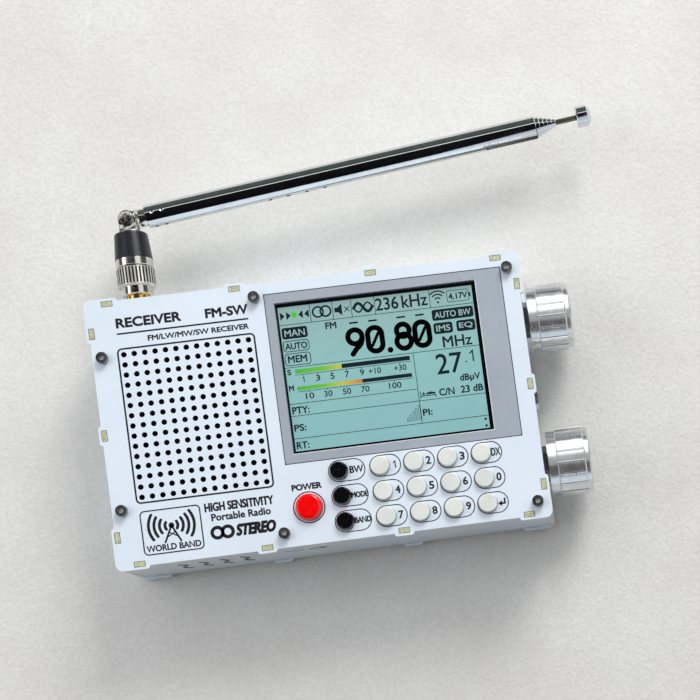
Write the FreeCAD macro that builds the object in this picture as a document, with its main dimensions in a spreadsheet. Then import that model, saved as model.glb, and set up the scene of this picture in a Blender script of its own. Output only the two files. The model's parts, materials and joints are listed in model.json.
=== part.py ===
# Pocket shortwave receiver: a box of six slotted circuit-board panels with a colour display, a keypad,
# two turned knobs on the right wall and a hinged telescopic antenna on the top wall.
#
# Frame: millimetres, +X to the receiver's right, +Y to its back, +Z up. The origin is at the middle of
# the case's foot: midway between the side walls, midway between the front and back faces.
import FreeCAD, Part
import Sketcher
import os
import re

doc = FreeCAD.newDocument("ShortwaveReceiver")

# ---------------------------------------------------------------- driving dimensions

DIMS = {
    # case: overall size, board thickness and how far the tenon bumps stand out of the edge
    "case_width": 145.2, "case_height": 91, "case_depth": 30, "board": 1.6, "bump": 1, "bump_round": 0.9,
    "bump_margin": 1.45, "corner_round": 2.6, "fit_gap": 0.1,
    "tenon_length": 3.45, "tenon_inner_x": 22.7, "tenon_outer_x": 64.7, "tenon_outer_z": 34.2,
    # screws and spacers
    "screw_x": 68.1, "screw_mid_x": -16.4, "screw_z": 39.8, "screw_side_z": 25.6,
    "screw_radius": 1, "screw_head_radius": 1.9, "screw_head": 2, "socket_radius": 0.87, "socket_deep": 1,
    "screw_hole": 1.15, "screw_length": 6, "spacer_radius": 1.7, "spacer_bore": 1.03,
    # display
    "bezel_left": -13.25, "bezel_right": 65.65, "bezel_bottom": 28.65, "bezel_top": 85.9,
    "bezel_gap": 0.25, "bezel_round": 0.6, "view_left": -10.3, "view_right": 56.83, "view_bottom": 31.75,
    "view_top": 82.7, "module_margin": 1.1, "module_deep": 2.6,
    # speaker grille and speaker
    "grille_left": -61.22, "grille_bottom": 23.7, "grille_pitch": 3.424, "grille_radius": 0.92,
    "grille_columns": 13, "grille_rows": 15, "speaker_radius": 20, "speaker_deep": 14,
    # keys: columns, rows and caps
    "key_left": 17.6, "key_pitch_x": 11.3, "key_top": 24.2, "key_pitch_z": 8.5, "mode_x": 3.9,
    "power_x": -7.4, "power_z": 13.45, "key_radius": 3.1, "mode_radius": 2.95, "power_radius": 4.45,
    "cap_gap": 0.12, "key_proud": 1.7, "mode_proud": 1.9, "power_proud": 2.2, "cap_round": 0.35,
    "power_round": 1.3,
    "flange_extra": 0.8, "flange": 0.8, "key_travel": 0.5, "stem_radius": 1.6, "stem_bore": 1.67,
    "stem_reach": 1.8, "switch_side": 6,
    # main board
    "main_left": -13.8, "main_right": 61.5, "main_bottom": 3.6, "main_top": 87, "main_front": -8,
    # knobs and encoders
    "knob_rise": 25.2, "knob_gap": 1.7, "knob_length": 14.4, "knob_skirt": 3, "knob_flutes": 9.6,
    "knob_radius": 11.5, "knob_skirt_radius": 10.9, "flute_width": 0.9, "flute_deep": 0.5,
    "flute_count": 18, "knob_edge": 0.5, "grip_edge": 0.3, "nut_recess_radius": 7, "nut_recess": 2.2,
    "bush_recess": 3.4,
    "shaft_radius": 3, "run_gap": 0.05, "bush_radius": 3.5, "bush_length": 4.4, "encoder_side": 12.5,
    "encoder_deep": 7.5, "rotor_radius": 4.9, "rotor": 2, "drive_half": 1.8, "drive_gap": 0.06,
    "drive_corner": 2.62, "nut_corner": 6.25, "nut": 1.5,
    # sockets
    "phones_radius": 3, "phones_bore": 1.8, "phones_nut_radius": 4, "phones_nut": 1, "phones_deep": 12,
    "usb_width": 8.94, "usb_thick": 3.26, "usb_deep": 7.4, "usb_wall": 0.3, "led_radius": 0.9,
    "led_left": -53, "led_pitch": 6.9, "led_y": -1.2,
    # battery
    "battery_left": -17, "battery_width": 74, "battery_height": 52, "battery_thick": 7.4, "battery_round": 2,
    # antenna: lower end
    "antenna_x": -57.4, "jack_radius": 3.8, "jack_bore": 3.2, "jack_top": 13, "jack_flange": 6,
    "jack_nut_corner": 6, "jack_nut": 2, "ring_bore": 3.88, "skirt_radius": 5.1, "skirt_low": 4.7,
    "knurl_low": 7.5, "knurl_high": 14.2, "knurl_radius": 6.3, "knurl_count": 34, "knurl_width": 0.6,
    "knurl_deep": 0.4, "plug_stem": 3.13, "collar_radius": 6.2, "collar_low": 14.3, "collar_high": 17,
    "spigot_radius": 3, "sleeve_low": 17.05, "sleeve_high": 26.3, "sleeve_foot": 6.25, "sleeve_head": 5.5,
    "sleeve_round": 0.8, "elbow_low": 26.32, "elbow_foot": 0.5, "elbow_foot_radius": 4.2,
    "elbow_half_x": 2.9, "elbow_half_y": 3.2, "tongue_half": 1.3, "pivot_high": 31, "pivot_radius": 1,
    "pivot_head": 1.2, "pivot_head_radius": 2.15, "pivot_tail": 0.8, "pivot_tail_radius": 1.6,
    # antenna: telescopic part, measured from the pivot along the tubes
    "antenna_tilt": 6.6, "tongue_radius": 2.7, "shoulder_low": 3.9, "tube_start": 6.3, "shoulder_radius": 3.1,
    "knuckle_end": 12, "tube_radius": 3.9, "tube_step": 0.5, "tube_wall": 0.35, "tube_lip": 0.45,
    "tube_end": 142.8, "stub": 1.42, "nest_start": 13.5, "nest_step": 1, "tube_edge": 0.25, "rod_end": 158.7,
    "tip_low": 157.2, "tip_high": 162.3, "tip_radius": 3.6, "tip_edge": 0.35, "tip_dome": 1.3,
    "dimple_radius": 1.1, "dimple_deep": 0.27,
}
TELESCOPIC_TUBES = 6

# Dimples pressed into the outer tube, as distances from the pivot: two rows on all four sides, where the
# knuckle's spigot is crimped, and single ones along the underside.
CRIMP_ROWS = [8.9, 12.2]
UNDERSIDE_DIMPLES = [48.2, 54.5, 61, 67.3, 124.9]

sheet = doc.addObject("Spreadsheet::Sheet", "Dims")
for row, (alias, number) in enumerate(DIMS.items(), start=1):
    sheet.set(f"A{row}", alias)
    sheet.set(f"B{row}", str(number))
    sheet.setAlias(f"B{row}", alias)
doc.recompute()

NAME = re.compile(r"[a-z_]+")
pieces = []


def on_sheet(text):
    """The expression with each dimension's name pointed at the sheet."""
    def reference(found):
        word = found.group()
        return "Dims." + word if word in DIMS else word
    return NAME.sub(reference, str(text))


def number_of(text):
    """What an expression of the sheet's dimensions comes to."""
    return float(sheet.evalExpression(on_sheet(text)))


def bind(item, **expressions):
    """Binds properties of item, such as Length, to expressions of the sheet's dimensions."""
    for prop, text in expressions.items():
        item.setExpression(prop, on_sheet(text))


def put(item, place, rotation=None):
    """Turns item, then binds where its own origin goes."""
    item.Placement = FreeCAD.Placement(FreeCAD.Vector(), rotation or FreeCAD.Rotation())
    for axis, text in zip("xyz", place):
        item.setExpression("Placement.Base." + axis, on_sheet(text))


def piece(item, label):
    """Marks item as a finished sub-part. Its label names its file."""
    item.Label = label
    pieces.append(item)
    return item


def turn_about(x, y, z, degrees):
    return FreeCAD.Rotation(FreeCAD.Vector(x, y, z), degrees)


# Rotations that lay a piece's own +Z axis along another direction.
ALONG = {
    "+Z": turn_about(1, 0, 0, 0),
    "+X": turn_about(0, 1, 0, 90),
    "+Y": turn_about(1, 0, 0, -90),
    "-Y": turn_about(1, 0, 0, 90),
    "-X": turn_about(0, 1, 0, -90),
    "antenna": turn_about(0, 1, 0, 90 - DIMS["antenna_tilt"]),
}

# ---------------------------------------------------------------- primitives and booleans


def block(name, low, size, rotation=None):
    """A box from its lowest corner and its three lengths."""
    item = doc.addObject("Part::Box", name)
    bind(item, Length=size[0], Width=size[1], Height=size[2])
    put(item, low, rotation)
    return item


def cylinder(name, base, radius, length, along="+Z"):
    item = doc.addObject("Part::Cylinder", name)
    bind(item, Radius=radius, Height=length)
    put(item, base, ALONG[along])
    return item


def hexagon(name, base, corner, length, along="+Z"):
    item = doc.addObject("Part::Prism", name)
    item.Polygon = 6
    bind(item, Circumradius=corner, Height=length)
    put(item, base, ALONG[along])
    return item


def join(name, items):
    item = doc.addObject("Part::MultiFuse", name)
    item.Shapes = items
    return item


def cut(name, base, *tools):
    item = doc.addObject("Part::Cut", name)
    item.Base = base
    item.Tool = tools[0] if len(tools) == 1 else join(name + "Tools", list(tools))
    return item


def group(name, items):
    """Separate solids that share one node."""
    item = doc.addObject("Part::Compound", name)
    item.Links = items
    return item


# ---------------------------------------------------------------- sketched bodies


def new_body(name):
    return doc.addObject("PartDesign::Body", name)


def sketch_on(body, role, name, height="0"):
    """A sketch on one of the body's own origin planes, lifted along the plane's normal."""
    sketch = body.newObject("Sketcher::SketchObject", name)
    plane = next(item for item in body.Origin.OriginFeatures if item.Role == role)
    sketch.AttachmentSupport = (plane, [""])
    sketch.MapMode = "FlatFace"
    sketch.setExpression("AttachmentOffset.Base.z", on_sheet(height))
    return sketch


def fix_point(sketch, shape, point, place):
    """Holds a point of a sketched shape at two bound coordinates."""
    for kind, text in zip(("DistanceX", "DistanceY"), place):
        index = sketch.addConstraint(Sketcher.Constraint(kind, shape, point, number_of(text)))
        sketch.setExpression(f"Constraints[{index}]", on_sheet(text))


def draw_polygon(sketch, points):
    """A closed outline through the points, each a pair of expressions."""
    corners = [FreeCAD.Vector(number_of(x), number_of(y), 0) for x, y in points]
    lines = []
    for start, end in zip(corners, corners[1:] + corners[:1]):
        lines.append(sketch.addGeometry(Part.LineSegment(start, end), False))
    for line, after in zip(lines, lines[1:] + lines[:1]):
        sketch.addConstraint(Sketcher.Constraint("Coincident", line, 2, after, 1))
    for line, place in zip(lines, points):
        fix_point(sketch, line, 1, place)


def draw_rectangle(sketch, left, low, right, high):
    draw_polygon(sketch, [(left, low), (right, low), (right, high), (left, high)])


def draw_circle(sketch, place, radius):
    centre = FreeCAD.Vector(number_of(place[0]), number_of(place[1]), 0)
    up = FreeCAD.Vector(0, 0, 1)
    ring = sketch.addGeometry(Part.Circle(centre, up, number_of(radius)), False)
    fix_point(sketch, ring, 3, place)
    index = sketch.addConstraint(Sketcher.Constraint("Radius", ring, number_of(radius)))
    sketch.setExpression(f"Constraints[{index}]", on_sheet(radius))


def extrude(body, sketch, kind, length, backwards):
    """Pads or pockets a sketch. A pocket has to take material away and a pad has to add some."""
    doc.recompute()
    before = body.Shape.Volume if body.Tip else 0
    feature = body.newObject("PartDesign::" + kind, sketch.Name + kind)
    feature.Profile = sketch
    feature.Reversed = backwards
    bind(feature, Length=length)
    sketch.Visibility = False
    doc.recompute()
    change = body.Shape.Volume - before
    if (change > 0) != (kind == "Pad") or abs(change) < 1e-6:
        raise ValueError(f"{feature.Name} changed the volume by {change:.4f}")
    return feature


def pad(body, sketch, length, backwards=False):
    return extrude(body, sketch, "Pad", length, backwards)


def pocket(body, sketch, length, backwards=False):
    return extrude(body, sketch, "Pocket", length, backwards)


def dress(body, kind, size, wanted):
    """Fillets or chamfers the edges of the body's solid that the test picks."""
    doc.recompute()
    base = body.Tip
    names = [f"Edge{i}" for i, edge in enumerate(base.Shape.Edges, start=1) if wanted(edge)]
    feature = body.newObject("PartDesign::" + kind, body.Name + kind)
    feature.Base = (base, names)
    bind(feature, **{"Radius" if kind == "Fillet" else "Size": size})
    doc.recompute()
    return feature


def polar_copies(body, feature, count):
    """Copies a feature evenly round the body's own Z axis."""
    axis = next(item for item in body.Origin.OriginFeatures if item.Role == "Z_Axis")
    pattern = body.newObject("PartDesign::PolarPattern", feature.Name + "Pattern")
    pattern.Originals = [feature]
    pattern.Axis = (axis, [""])
    pattern.Angle = 360
    bind(pattern, Occurrences=count)
    body.Tip = pattern
    return pattern


def turned(name, profile, place, along="+Z"):
    """A body of revolution: the profile's points are (radius, height) on the body's own Z axis."""
    body = new_body(name)
    sketch = sketch_on(body, "XZ_Plane", name + "Profile")
    draw_polygon(sketch, profile)
    doc.recompute()
    feature = body.newObject("PartDesign::Revolution", name + "Turned")
    feature.Profile = sketch
    feature.ReferenceAxis = (sketch, ["V_Axis"])
    feature.Angle = 360
    sketch.Visibility = False
    put(body, place, ALONG[along])
    return body


def is_ring(edge, radius, height):
    """True for a full circle about the body's own Z axis with that radius and height."""
    middle = edge.BoundBox.Center
    wide = abs(edge.BoundBox.XLength - 2 * number_of(radius)) < 0.01
    flat = edge.BoundBox.ZLength < 0.01
    return wide and flat and abs(middle.z - number_of(height)) < 0.01 and abs(middle.x) < 0.01


# ---------------------------------------------------------------- case panels and walls

EDGE_X = "(case_width / 2 - bump)"
EDGE_LOW = "bump"
EDGE_HIGH = "(case_height - bump)"
MIDDLE_Z = "(case_height / 2)"
FRONT_FACE = "(-case_depth / 2)"
FRONT_INNER = "(-case_depth / 2 + board)"
BACK_INNER = "(case_depth / 2 - board)"
INSIDE_DEPTH = "(case_depth - 2 * board)"
LONG_TENONS = ["-tenon_outer_x", "-tenon_inner_x", "tenon_inner_x", "tenon_outer_x"]
SIDE_TENONS = ["-tenon_outer_z", "0", "tenon_outer_z"]
SCREWS = [
    ("screw_x", "screw_z"), ("screw_x", "-screw_z"),
    ("screw_mid_x", "screw_z"), ("screw_mid_x", "-screw_z"),
    ("-screw_x", "screw_side_z"), ("-screw_x", "-screw_side_z"),
]


def notch_spans(tenons):
    """The stretches of a panel's edge between its bumps, from tenon to tenon."""
    reach = "(tenon_length / 2 + fit_gap + bump_margin)"
    return [(f"{near} + {reach}", f"{far} - {reach}") for near, far in zip(tenons, tenons[1:])]


def draw_notches(sketch):
    """The shallow recesses that leave the panel's bumps standing round the tenons."""
    for near, far in notch_spans(LONG_TENONS):
        draw_rectangle(sketch, near, "case_height - bump", far, "case_height + bump")
        draw_rectangle(sketch, near, "-bump", far, "bump")
    for near, far in notch_spans(SIDE_TENONS):
        low, high = f"{MIDDLE_Z} + {near}", f"{MIDDLE_Z} + {far}"
        draw_rectangle(sketch, EDGE_X, low, "case_width / 2 + bump", high)
        draw_rectangle(sketch, "-case_width / 2 - bump", low, "-" + EDGE_X, high)


def draw_slots(sketch):
    """The mortises that the walls' tenons pass through."""
    half = "(tenon_length / 2 + fit_gap)"
    for middle in LONG_TENONS:
        left, right = f"{middle} - {half}", f"{middle} + {half}"
        draw_rectangle(sketch, left, f"{EDGE_HIGH} - board - fit_gap", right, f"{EDGE_HIGH} + fit_gap")
        draw_rectangle(sketch, left, f"{EDGE_LOW} - fit_gap", right, f"{EDGE_LOW} + board + fit_gap")
    for middle in SIDE_TENONS:
        low, high = f"{MIDDLE_Z} + {middle} - {half}", f"{MIDDLE_Z} + {middle} + {half}"
        draw_rectangle(sketch, f"{EDGE_X} - board - fit_gap", low, f"{EDGE_X} + fit_gap", high)
        draw_rectangle(sketch, f"-{EDGE_X} - fit_gap", low, f"-{EDGE_X} + board + fit_gap", high)


def draw_screw_holes(sketch, radius):
    for x, rise in SCREWS:
        draw_circle(sketch, (x, f"{MIDDLE_Z} + {rise}"), radius)


def crosswise(edge):
    """True for an edge that runs through a panel's thickness."""
    box = edge.BoundBox
    return box.XLength < 0.01 and box.ZLength < 0.01 and box.YLength > 0.01


def on_outer_corner(edge):
    middle = edge.BoundBox.Center
    at_side = abs(abs(middle.x) - number_of("case_width / 2")) < 0.01
    at_end = abs(abs(middle.z - number_of(MIDDLE_Z)) - number_of("case_height / 2")) < 0.01
    return crosswise(edge) and at_side and at_end


def on_bump(edge):
    middle = edge.BoundBox.Center
    at_side = abs(abs(middle.x) - number_of("case_width / 2")) < 0.01
    at_end = abs(abs(middle.z - number_of(MIDDLE_Z)) - number_of("case_height / 2")) < 0.01
    return crosswise(edge) and at_side != at_end


def panel(name, near_face):
    """A face panel: its bumps, mortises and screw holes. near_face is its lower Y."""
    height = f"-({near_face})"
    body = new_body(name)
    outline = sketch_on(body, "XZ_Plane", name + "Outline", height)
    draw_rectangle(outline, "-case_width / 2", "0", "case_width / 2", "case_height")
    pad(body, outline, "board", backwards=True)
    notches = sketch_on(body, "XZ_Plane", name + "Notches", height)
    draw_notches(notches)
    pocket(body, notches, "board")
    dress(body, "Fillet", "corner_round", on_outer_corner)
    dress(body, "Fillet", "bump_round", on_bump)
    slots = sketch_on(body, "XZ_Plane", name + "Slots", height)
    draw_slots(slots)
    pocket(body, slots, "board")
    holes = sketch_on(body, "XZ_Plane", name + "ScrewHoles", height)
    draw_screw_holes(holes, "screw_hole")
    pocket(body, holes, "board")
    return body


def add_grille(body, height):
    """One speaker hole copied into a grid of columns and rows."""
    sketch = sketch_on(body, "XZ_Plane", "GrilleHole", height)
    draw_circle(sketch, ("grille_left", "grille_bottom"), "grille_radius")
    hole = pocket(body, sketch, "board")
    grid = body.newObject("PartDesign::MultiTransform", "GrilleGrid")
    grid.Originals = [hole]
    directions = []
    for name, axis, count in (("Across", "H_Axis", "grille_columns"), ("Up", "V_Axis", "grille_rows")):
        line = body.newObject("PartDesign::LinearPattern", "Grille" + name)
        line.Direction = (sketch, [axis])
        bind(line, Length=f"grille_pitch * ({count} - 1)", Occurrences=count)
        directions.append(line)
    grid.Transformations = directions
    body.Tip = grid
    doc.recompute()


KEYS = {
    "key_one": (0, 0), "key_two": (1, 0), "key_three": (2, 0), "key_band_step": (3, 0),
    "key_four": (0, 1), "key_five": (1, 1), "key_six": (2, 1), "key_zero": (3, 1),
    "key_seven": (0, 2), "key_eight": (1, 2), "key_nine": (2, 2), "key_enter": (3, 2),
}
MODE_BUTTONS = {"bandwidth_button": 0, "mode_button": 1, "band_button": 2}


def row_z(row):
    return f"(key_top - {row} * key_pitch_z)"


def buttons():
    """Each button: name, centre, cap radius, how far it stands proud."""
    rows = [("power_button", ("power_x", "power_z"), "power_radius", "power_proud")]
    for name, row in MODE_BUTTONS.items():
        rows.append((name, ("mode_x", row_z(row)), "mode_radius", "mode_proud"))
    for name, (column, row) in KEYS.items():
        rows.append((name, (f"(key_left + {column} * key_pitch_x)", row_z(row)), "key_radius", "key_proud"))
    return rows


def front_panel():
    body = panel("FrontPanel", FRONT_FACE)
    height = f"-({FRONT_FACE})"
    opening = sketch_on(body, "XZ_Plane", "DisplayOpening", height)
    draw_rectangle(opening, "bezel_left - bezel_gap", "bezel_bottom - bezel_gap",
                   "bezel_right + bezel_gap", "bezel_top + bezel_gap")
    pocket(body, opening, "board")
    holes = sketch_on(body, "XZ_Plane", "ButtonHoles", height)
    for name, place, radius, proud in buttons():
        draw_circle(holes, place, f"{radius} + cap_gap")
    pocket(body, holes, "board")
    add_grille(body, height)
    return piece(body, "front_panel")


def back_panel():
    return piece(panel("BackPanel", BACK_INNER), "back_panel")


def draw_wall(body, name, role, height, ends, tenons, middle):
    """Pads a wall's blank and its tenons. Top and bottom walls run along X, side walls along Z."""
    upright = role == "YZ_Plane"
    inner, outer = f"{INSIDE_DEPTH} / 2", "case_depth / 2"

    def draw(sketch, start, end, reach):
        if upright:
            draw_rectangle(sketch, f"-{reach}", start, reach, end)
        else:
            draw_rectangle(sketch, start, f"-{reach}", end, reach)

    blank = sketch_on(body, role, name + "Blank", height)
    draw(blank, ends[0], ends[1], inner)
    pad(body, blank, "board")
    tongues = sketch_on(body, role, name + "Tenons", height)
    for tenon in tenons:
        centre = f"{middle} + {tenon}"
        draw(tongues, f"{centre} - tenon_length / 2", f"{centre} + tenon_length / 2", outer)
    pad(body, tongues, "board")


def long_wall(name, height):
    """The top or bottom wall, which fits between the side walls."""
    body = new_body(name)
    ends = (f"-{EDGE_X} + board", f"{EDGE_X} - board")
    draw_wall(body, name, "XY_Plane", height, ends, LONG_TENONS, "0")
    return body


def side_wall(name, height):
    """The left or right wall, which runs the full height."""
    body = new_body(name)
    draw_wall(body, name, "YZ_Plane", height, (EDGE_LOW, EDGE_HIGH), SIDE_TENONS, MIDDLE_Z)
    return body


def top_wall():
    body = long_wall("TopWall", f"{EDGE_HIGH} - board")
    hole = sketch_on(body, "XY_Plane", "JackHole", f"{EDGE_HIGH} - board")
    draw_circle(hole, ("antenna_x", "0"), "jack_radius + fit_gap")
    pocket(body, hole, "board", backwards=True)
    return piece(body, "top_wall")


def bottom_wall():
    """Four small holes for the charge lights are drilled in a row."""
    body = long_wall("BottomWall", EDGE_LOW)
    holes = sketch_on(body, "XY_Plane", "LightHoles", EDGE_LOW)
    for step in range(4):
        draw_circle(holes, (f"led_left + {step} * led_pitch", "led_y"), "led_radius")
    pocket(body, holes, "board", backwards=True)
    return piece(body, "bottom_wall")


def left_wall():
    """The charging socket's opening is a rounded slot, taller than it is wide."""
    height = f"-{EDGE_X}"
    body = side_wall("LeftWall", height)
    opening = sketch_on(body, "YZ_Plane", "ChargeOpening", height)
    half_y, half_z = "(usb_thick / 2 + fit_gap)", "(usb_width / 2 + fit_gap)"
    draw_rectangle(opening, f"-{half_y}", f"{MIDDLE_Z} - {half_z}", half_y, f"{MIDDLE_Z} + {half_z}")
    pocket(body, opening, "board", backwards=True)
    return piece(body, "left_wall")


def right_wall():
    """Round holes for the two encoder bushes and the earphone socket's nose."""
    height = f"{EDGE_X} - board"
    body = side_wall("RightWall", height)
    holes = sketch_on(body, "YZ_Plane", "BushHoles", height)
    for rise in ("knob_rise", "-knob_rise"):
        draw_circle(holes, ("0", f"{MIDDLE_Z} + {rise}"), "bush_radius + fit_gap")
    draw_circle(holes, ("0", MIDDLE_Z), "phones_radius + fit_gap")
    pocket(body, holes, "board", backwards=True)
    return piece(body, "right_wall")


# ---------------------------------------------------------------- case screws and spacers


def case_screw(name, x, z, face, outward):
    """A socket-head screw whose head sits on a panel's face and whose shank enters a spacer."""
    inward = {"-Y": "+Y", "+Y": "-Y"}[outward]
    sign = {"-Y": "-", "+Y": "+"}[outward]
    head = cylinder(name + "Head", (x, face, z), "screw_head_radius", "screw_head", outward)
    shank = cylinder(name + "Shank", (x, face, z), "screw_radius", "screw_length", inward)
    floor = f"{face} {sign} (screw_head - socket_deep)"
    socket = hexagon(name + "Socket", (x, floor, z), "socket_radius", "socket_deep", outward)
    return cut(name, join(name + "Blank", [head, shank]), socket)


def case_screws(label, face, outward):
    screws = []
    for index, (x, rise) in enumerate(SCREWS, start=1):
        screws.append(case_screw(f"{label}_{index}", x, f"{MIDDLE_Z} + {rise}", face, outward))
    return piece(group(label.title(), screws), label)


def spacers():
    """Tapped posts between the front and back panels, one behind each screw."""
    posts = []
    for index, (x, rise) in enumerate(SCREWS, start=1):
        foot = (x, FRONT_INNER, f"{MIDDLE_Z} + {rise}")
        post = cylinder(f"Post{index}", foot, "spacer_radius", INSIDE_DEPTH, "+Y")
        bore = cylinder(f"PostBore{index}", foot, "spacer_bore", INSIDE_DEPTH, "+Y")
        posts.append(cut(f"Spacer{index}", post, bore))
    return piece(group("Spacers", posts), "spacers")


# ---------------------------------------------------------------- display


def display_bezel():
    """The frame round the screen, flush with the front panel's face. Its opening sits left of its middle."""
    body = new_body("DisplayBezel")
    height = f"-({FRONT_FACE})"
    outline = sketch_on(body, "XZ_Plane", "BezelOutline", height)
    draw_rectangle(outline, "bezel_left", "bezel_bottom", "bezel_right", "bezel_top")
    pad(body, outline, "board", backwards=True)
    dress(body, "Fillet", "bezel_round", crosswise)
    opening = sketch_on(body, "XZ_Plane", "BezelOpening", height)
    draw_rectangle(opening, "view_left", "view_bottom", "view_right", "view_top")
    pocket(body, opening, "board")
    return piece(body, "display_bezel")


def lcd_module():
    low = ("bezel_left + module_margin", f"{FRONT_INNER} + fit_gap", "bezel_bottom + module_margin")
    width = "bezel_right - bezel_left - 2 * module_margin"
    height = "bezel_top - bezel_bottom - 2 * module_margin"
    return piece(block("LcdModule", low, (width, "module_deep", height)), "lcd_module")


# ---------------------------------------------------------------- boards, switches, battery


def main_board():
    """The populated board: its blank, the tuner's shield, the battery's plug and the controller."""
    size = ("main_right - main_left", "board", "main_top - main_bottom")
    blank = block("BoardBlank", ("main_left", "main_front", "main_bottom"), size)
    back = "main_front + board"
    shield = block("TunerShield", ("main_left + 6", back, "main_top - 16"), ("26", "3.2", "13"))
    plug = block("BatteryPlug", ("main_left + 2", back, "main_bottom + 5"), ("6", "4.5", "8"))
    controller = block("ControllerChip", ("main_right - 22", back, "main_top - 12"), ("9", "1.2", "9"))
    return piece(join("MainBoard", [blank, shield, plug, controller]), "main_board")


def key_switches():
    """One square push switch behind each button, soldered to the main board's front."""
    switches = []
    top = f"({FRONT_INNER} + fit_gap + flange + key_travel + fit_gap)"
    for index, (name, (x, z), radius, proud) in enumerate(buttons(), start=1):
        low = (f"{x} - switch_side / 2", top, f"{z} - switch_side / 2")
        case = block(f"SwitchCase{index}", low, ("switch_side", f"main_front - {top}", "switch_side"))
        bore = cylinder(f"SwitchBore{index}", (x, top, z), "stem_bore", "stem_reach + key_travel", "+Y")
        switches.append(cut(f"Switch{index}", case, bore))
    return piece(group("KeySwitches", switches), "key_switches")


def battery_pack():
    body = new_body("BatteryPack")
    sketch = sketch_on(body, "XZ_Plane", "BatteryOutline", f"-({BACK_INNER} - fit_gap - battery_thick)")
    low = f"{MIDDLE_Z} - battery_height / 2"
    draw_rectangle(sketch, "battery_left", low, "battery_left + battery_width", f"{low} + battery_height")
    pad(body, sketch, "battery_thick", backwards=True)
    dress(body, "Fillet", "battery_round", lambda edge: True)
    return piece(body, "battery_pack")


# ---------------------------------------------------------------- buttons


def button(name, place, radius, proud):
    """A cap that passes through the front panel, its retaining flange and the stem to its switch."""
    flange_top = "(-board - fit_gap)"
    flange_low = f"({flange_top} - flange)"
    profile = [
        ("0", f"{flange_low} - stem_reach"), ("stem_radius", f"{flange_low} - stem_reach"),
        ("stem_radius", flange_low), (f"{radius} + flange_extra", flange_low),
        (f"{radius} + flange_extra", flange_top), (radius, flange_top), (radius, proud), ("0", proud),
    ]
    body = turned(name.title().replace("_", ""), profile, (place[0], FRONT_FACE, place[1]), "-Y")
    kind = "Chamfer" if name in MODE_BUTTONS else "Fillet"
    size = "power_round" if name == "power_button" else "cap_round"
    dress(body, kind, size, lambda edge: is_ring(edge, radius, proud))
    return piece(body, name)


# ---------------------------------------------------------------- speaker

SPEAKER_AT = (
    "grille_left + grille_pitch * (grille_columns - 1) / 2", f"{FRONT_INNER} + fit_gap",
    "grille_bottom + grille_pitch * (grille_rows - 1) / 2",
)


def speaker_frame():
    """The basket with its magnet, open at the front."""
    profile = [
        ("0", "speaker_deep"), ("0", "speaker_deep * 0.65"),
        ("speaker_radius * 0.55", "speaker_deep * 0.65"),
        ("speaker_radius - 1.4", "1.2"), ("speaker_radius - 1.4", "0"), ("speaker_radius", "0"),
        ("speaker_radius", "1.8"), ("speaker_radius * 0.62", "speaker_deep * 0.74"),
        ("speaker_radius * 0.62", "speaker_deep"),
    ]
    return piece(turned("SpeakerFrame", profile, SPEAKER_AT, "+Y"), "speaker_frame")


def speaker_cone():
    """The paper cone with a flat roll at its rim and a dust cap in its middle."""
    profile = [
        ("0", "5.4"), ("5", "6.1"), ("speaker_radius * 0.8", "0.3"), ("speaker_radius - 1.6", "0.3"),
        ("speaker_radius - 1.6", "0.7"), ("speaker_radius * 0.82", "0.7"), ("5.2", "6.7"), ("0", "5.9"),
    ]
    return piece(turned("SpeakerCone", profile, SPEAKER_AT, "+Y"), "speaker_cone")


# ---------------------------------------------------------------- knobs and encoders

WALL_INNER = f"({EDGE_X} - board)"


def encoder(prefix, z):
    """The encoder's fixed housing: a square box with a cavity for the rotor and a threaded bush."""
    half = "encoder_side / 2"
    low = (f"{WALL_INNER} - encoder_deep", f"-{half}", f"{z} - {half}")
    case = block(prefix + "Case", low, ("encoder_deep", "encoder_side", "encoder_side"))
    bush = cylinder(prefix + "Bush", (WALL_INNER, "0", z), "bush_radius", "board + bush_length", "+X")
    rotor_x = f"({WALL_INNER} - 3.9)"
    cavity = cylinder(prefix + "Cavity", (f"{rotor_x} - fit_gap", "0", z), "rotor_radius + fit_gap",
                      "rotor + 2 * fit_gap", "+X")
    bore = cylinder(prefix + "Bore", (rotor_x, "0", z), "shaft_radius + run_gap", "12", "+X")
    rear = cylinder(prefix + "Rear", (f"{rotor_x} - 2.8", "0", z), "drive_corner", "3", "+X")
    body = cut(prefix + "Encoder", join(prefix + "Blank", [case, bush]), cavity, bore, rear)
    return piece(body, prefix.lower() + "_encoder")


def rotor(prefix, z):
    """The turning disc. Its square hole drives the shaft and lets it slide when the knob is pushed."""
    at = f"({WALL_INNER} - 3.9)"
    disc = cylinder(prefix + "Disc", (at, "0", z), "rotor_radius", "rotor", "+X")
    half = "(drive_half + drive_gap)"
    low = (f"{at} - 1", f"-{half}", f"{z} - {half}")
    drive = block(prefix + "Drive", low, ("rotor + 2", f"2 * {half}", f"2 * {half}"))
    return piece(cut(prefix + "Rotor", disc, drive), prefix.lower() + "_rotor")


def shaft(prefix, z):
    """A round shaft with a square tail inside the rotor and a flat near its outer end."""
    start = f"({WALL_INNER} - 1)"
    end = f"({EDGE_X} + knob_gap + knob_length - 2.8)"
    round_part = cylinder(prefix + "Spindle", (start, "0", z), "shaft_radius", f"{end} - {start}", "+X")
    low = (f"{start} - 5", "-drive_half", f"{z} - drive_half")
    tail = block(prefix + "Tail", low, ("5.5", "2 * drive_half", "2 * drive_half"))
    flat_low = (f"{end} - 7", "-shaft_radius", f"{z} + shaft_radius - 1.2")
    flat = block(prefix + "Flat", flat_low, ("7", "2 * shaft_radius", "2"))
    body = cut(prefix + "Shaft", join(prefix + "Bar", [round_part, tail]), flat)
    return piece(body, prefix.lower() + "_shaft")


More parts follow.
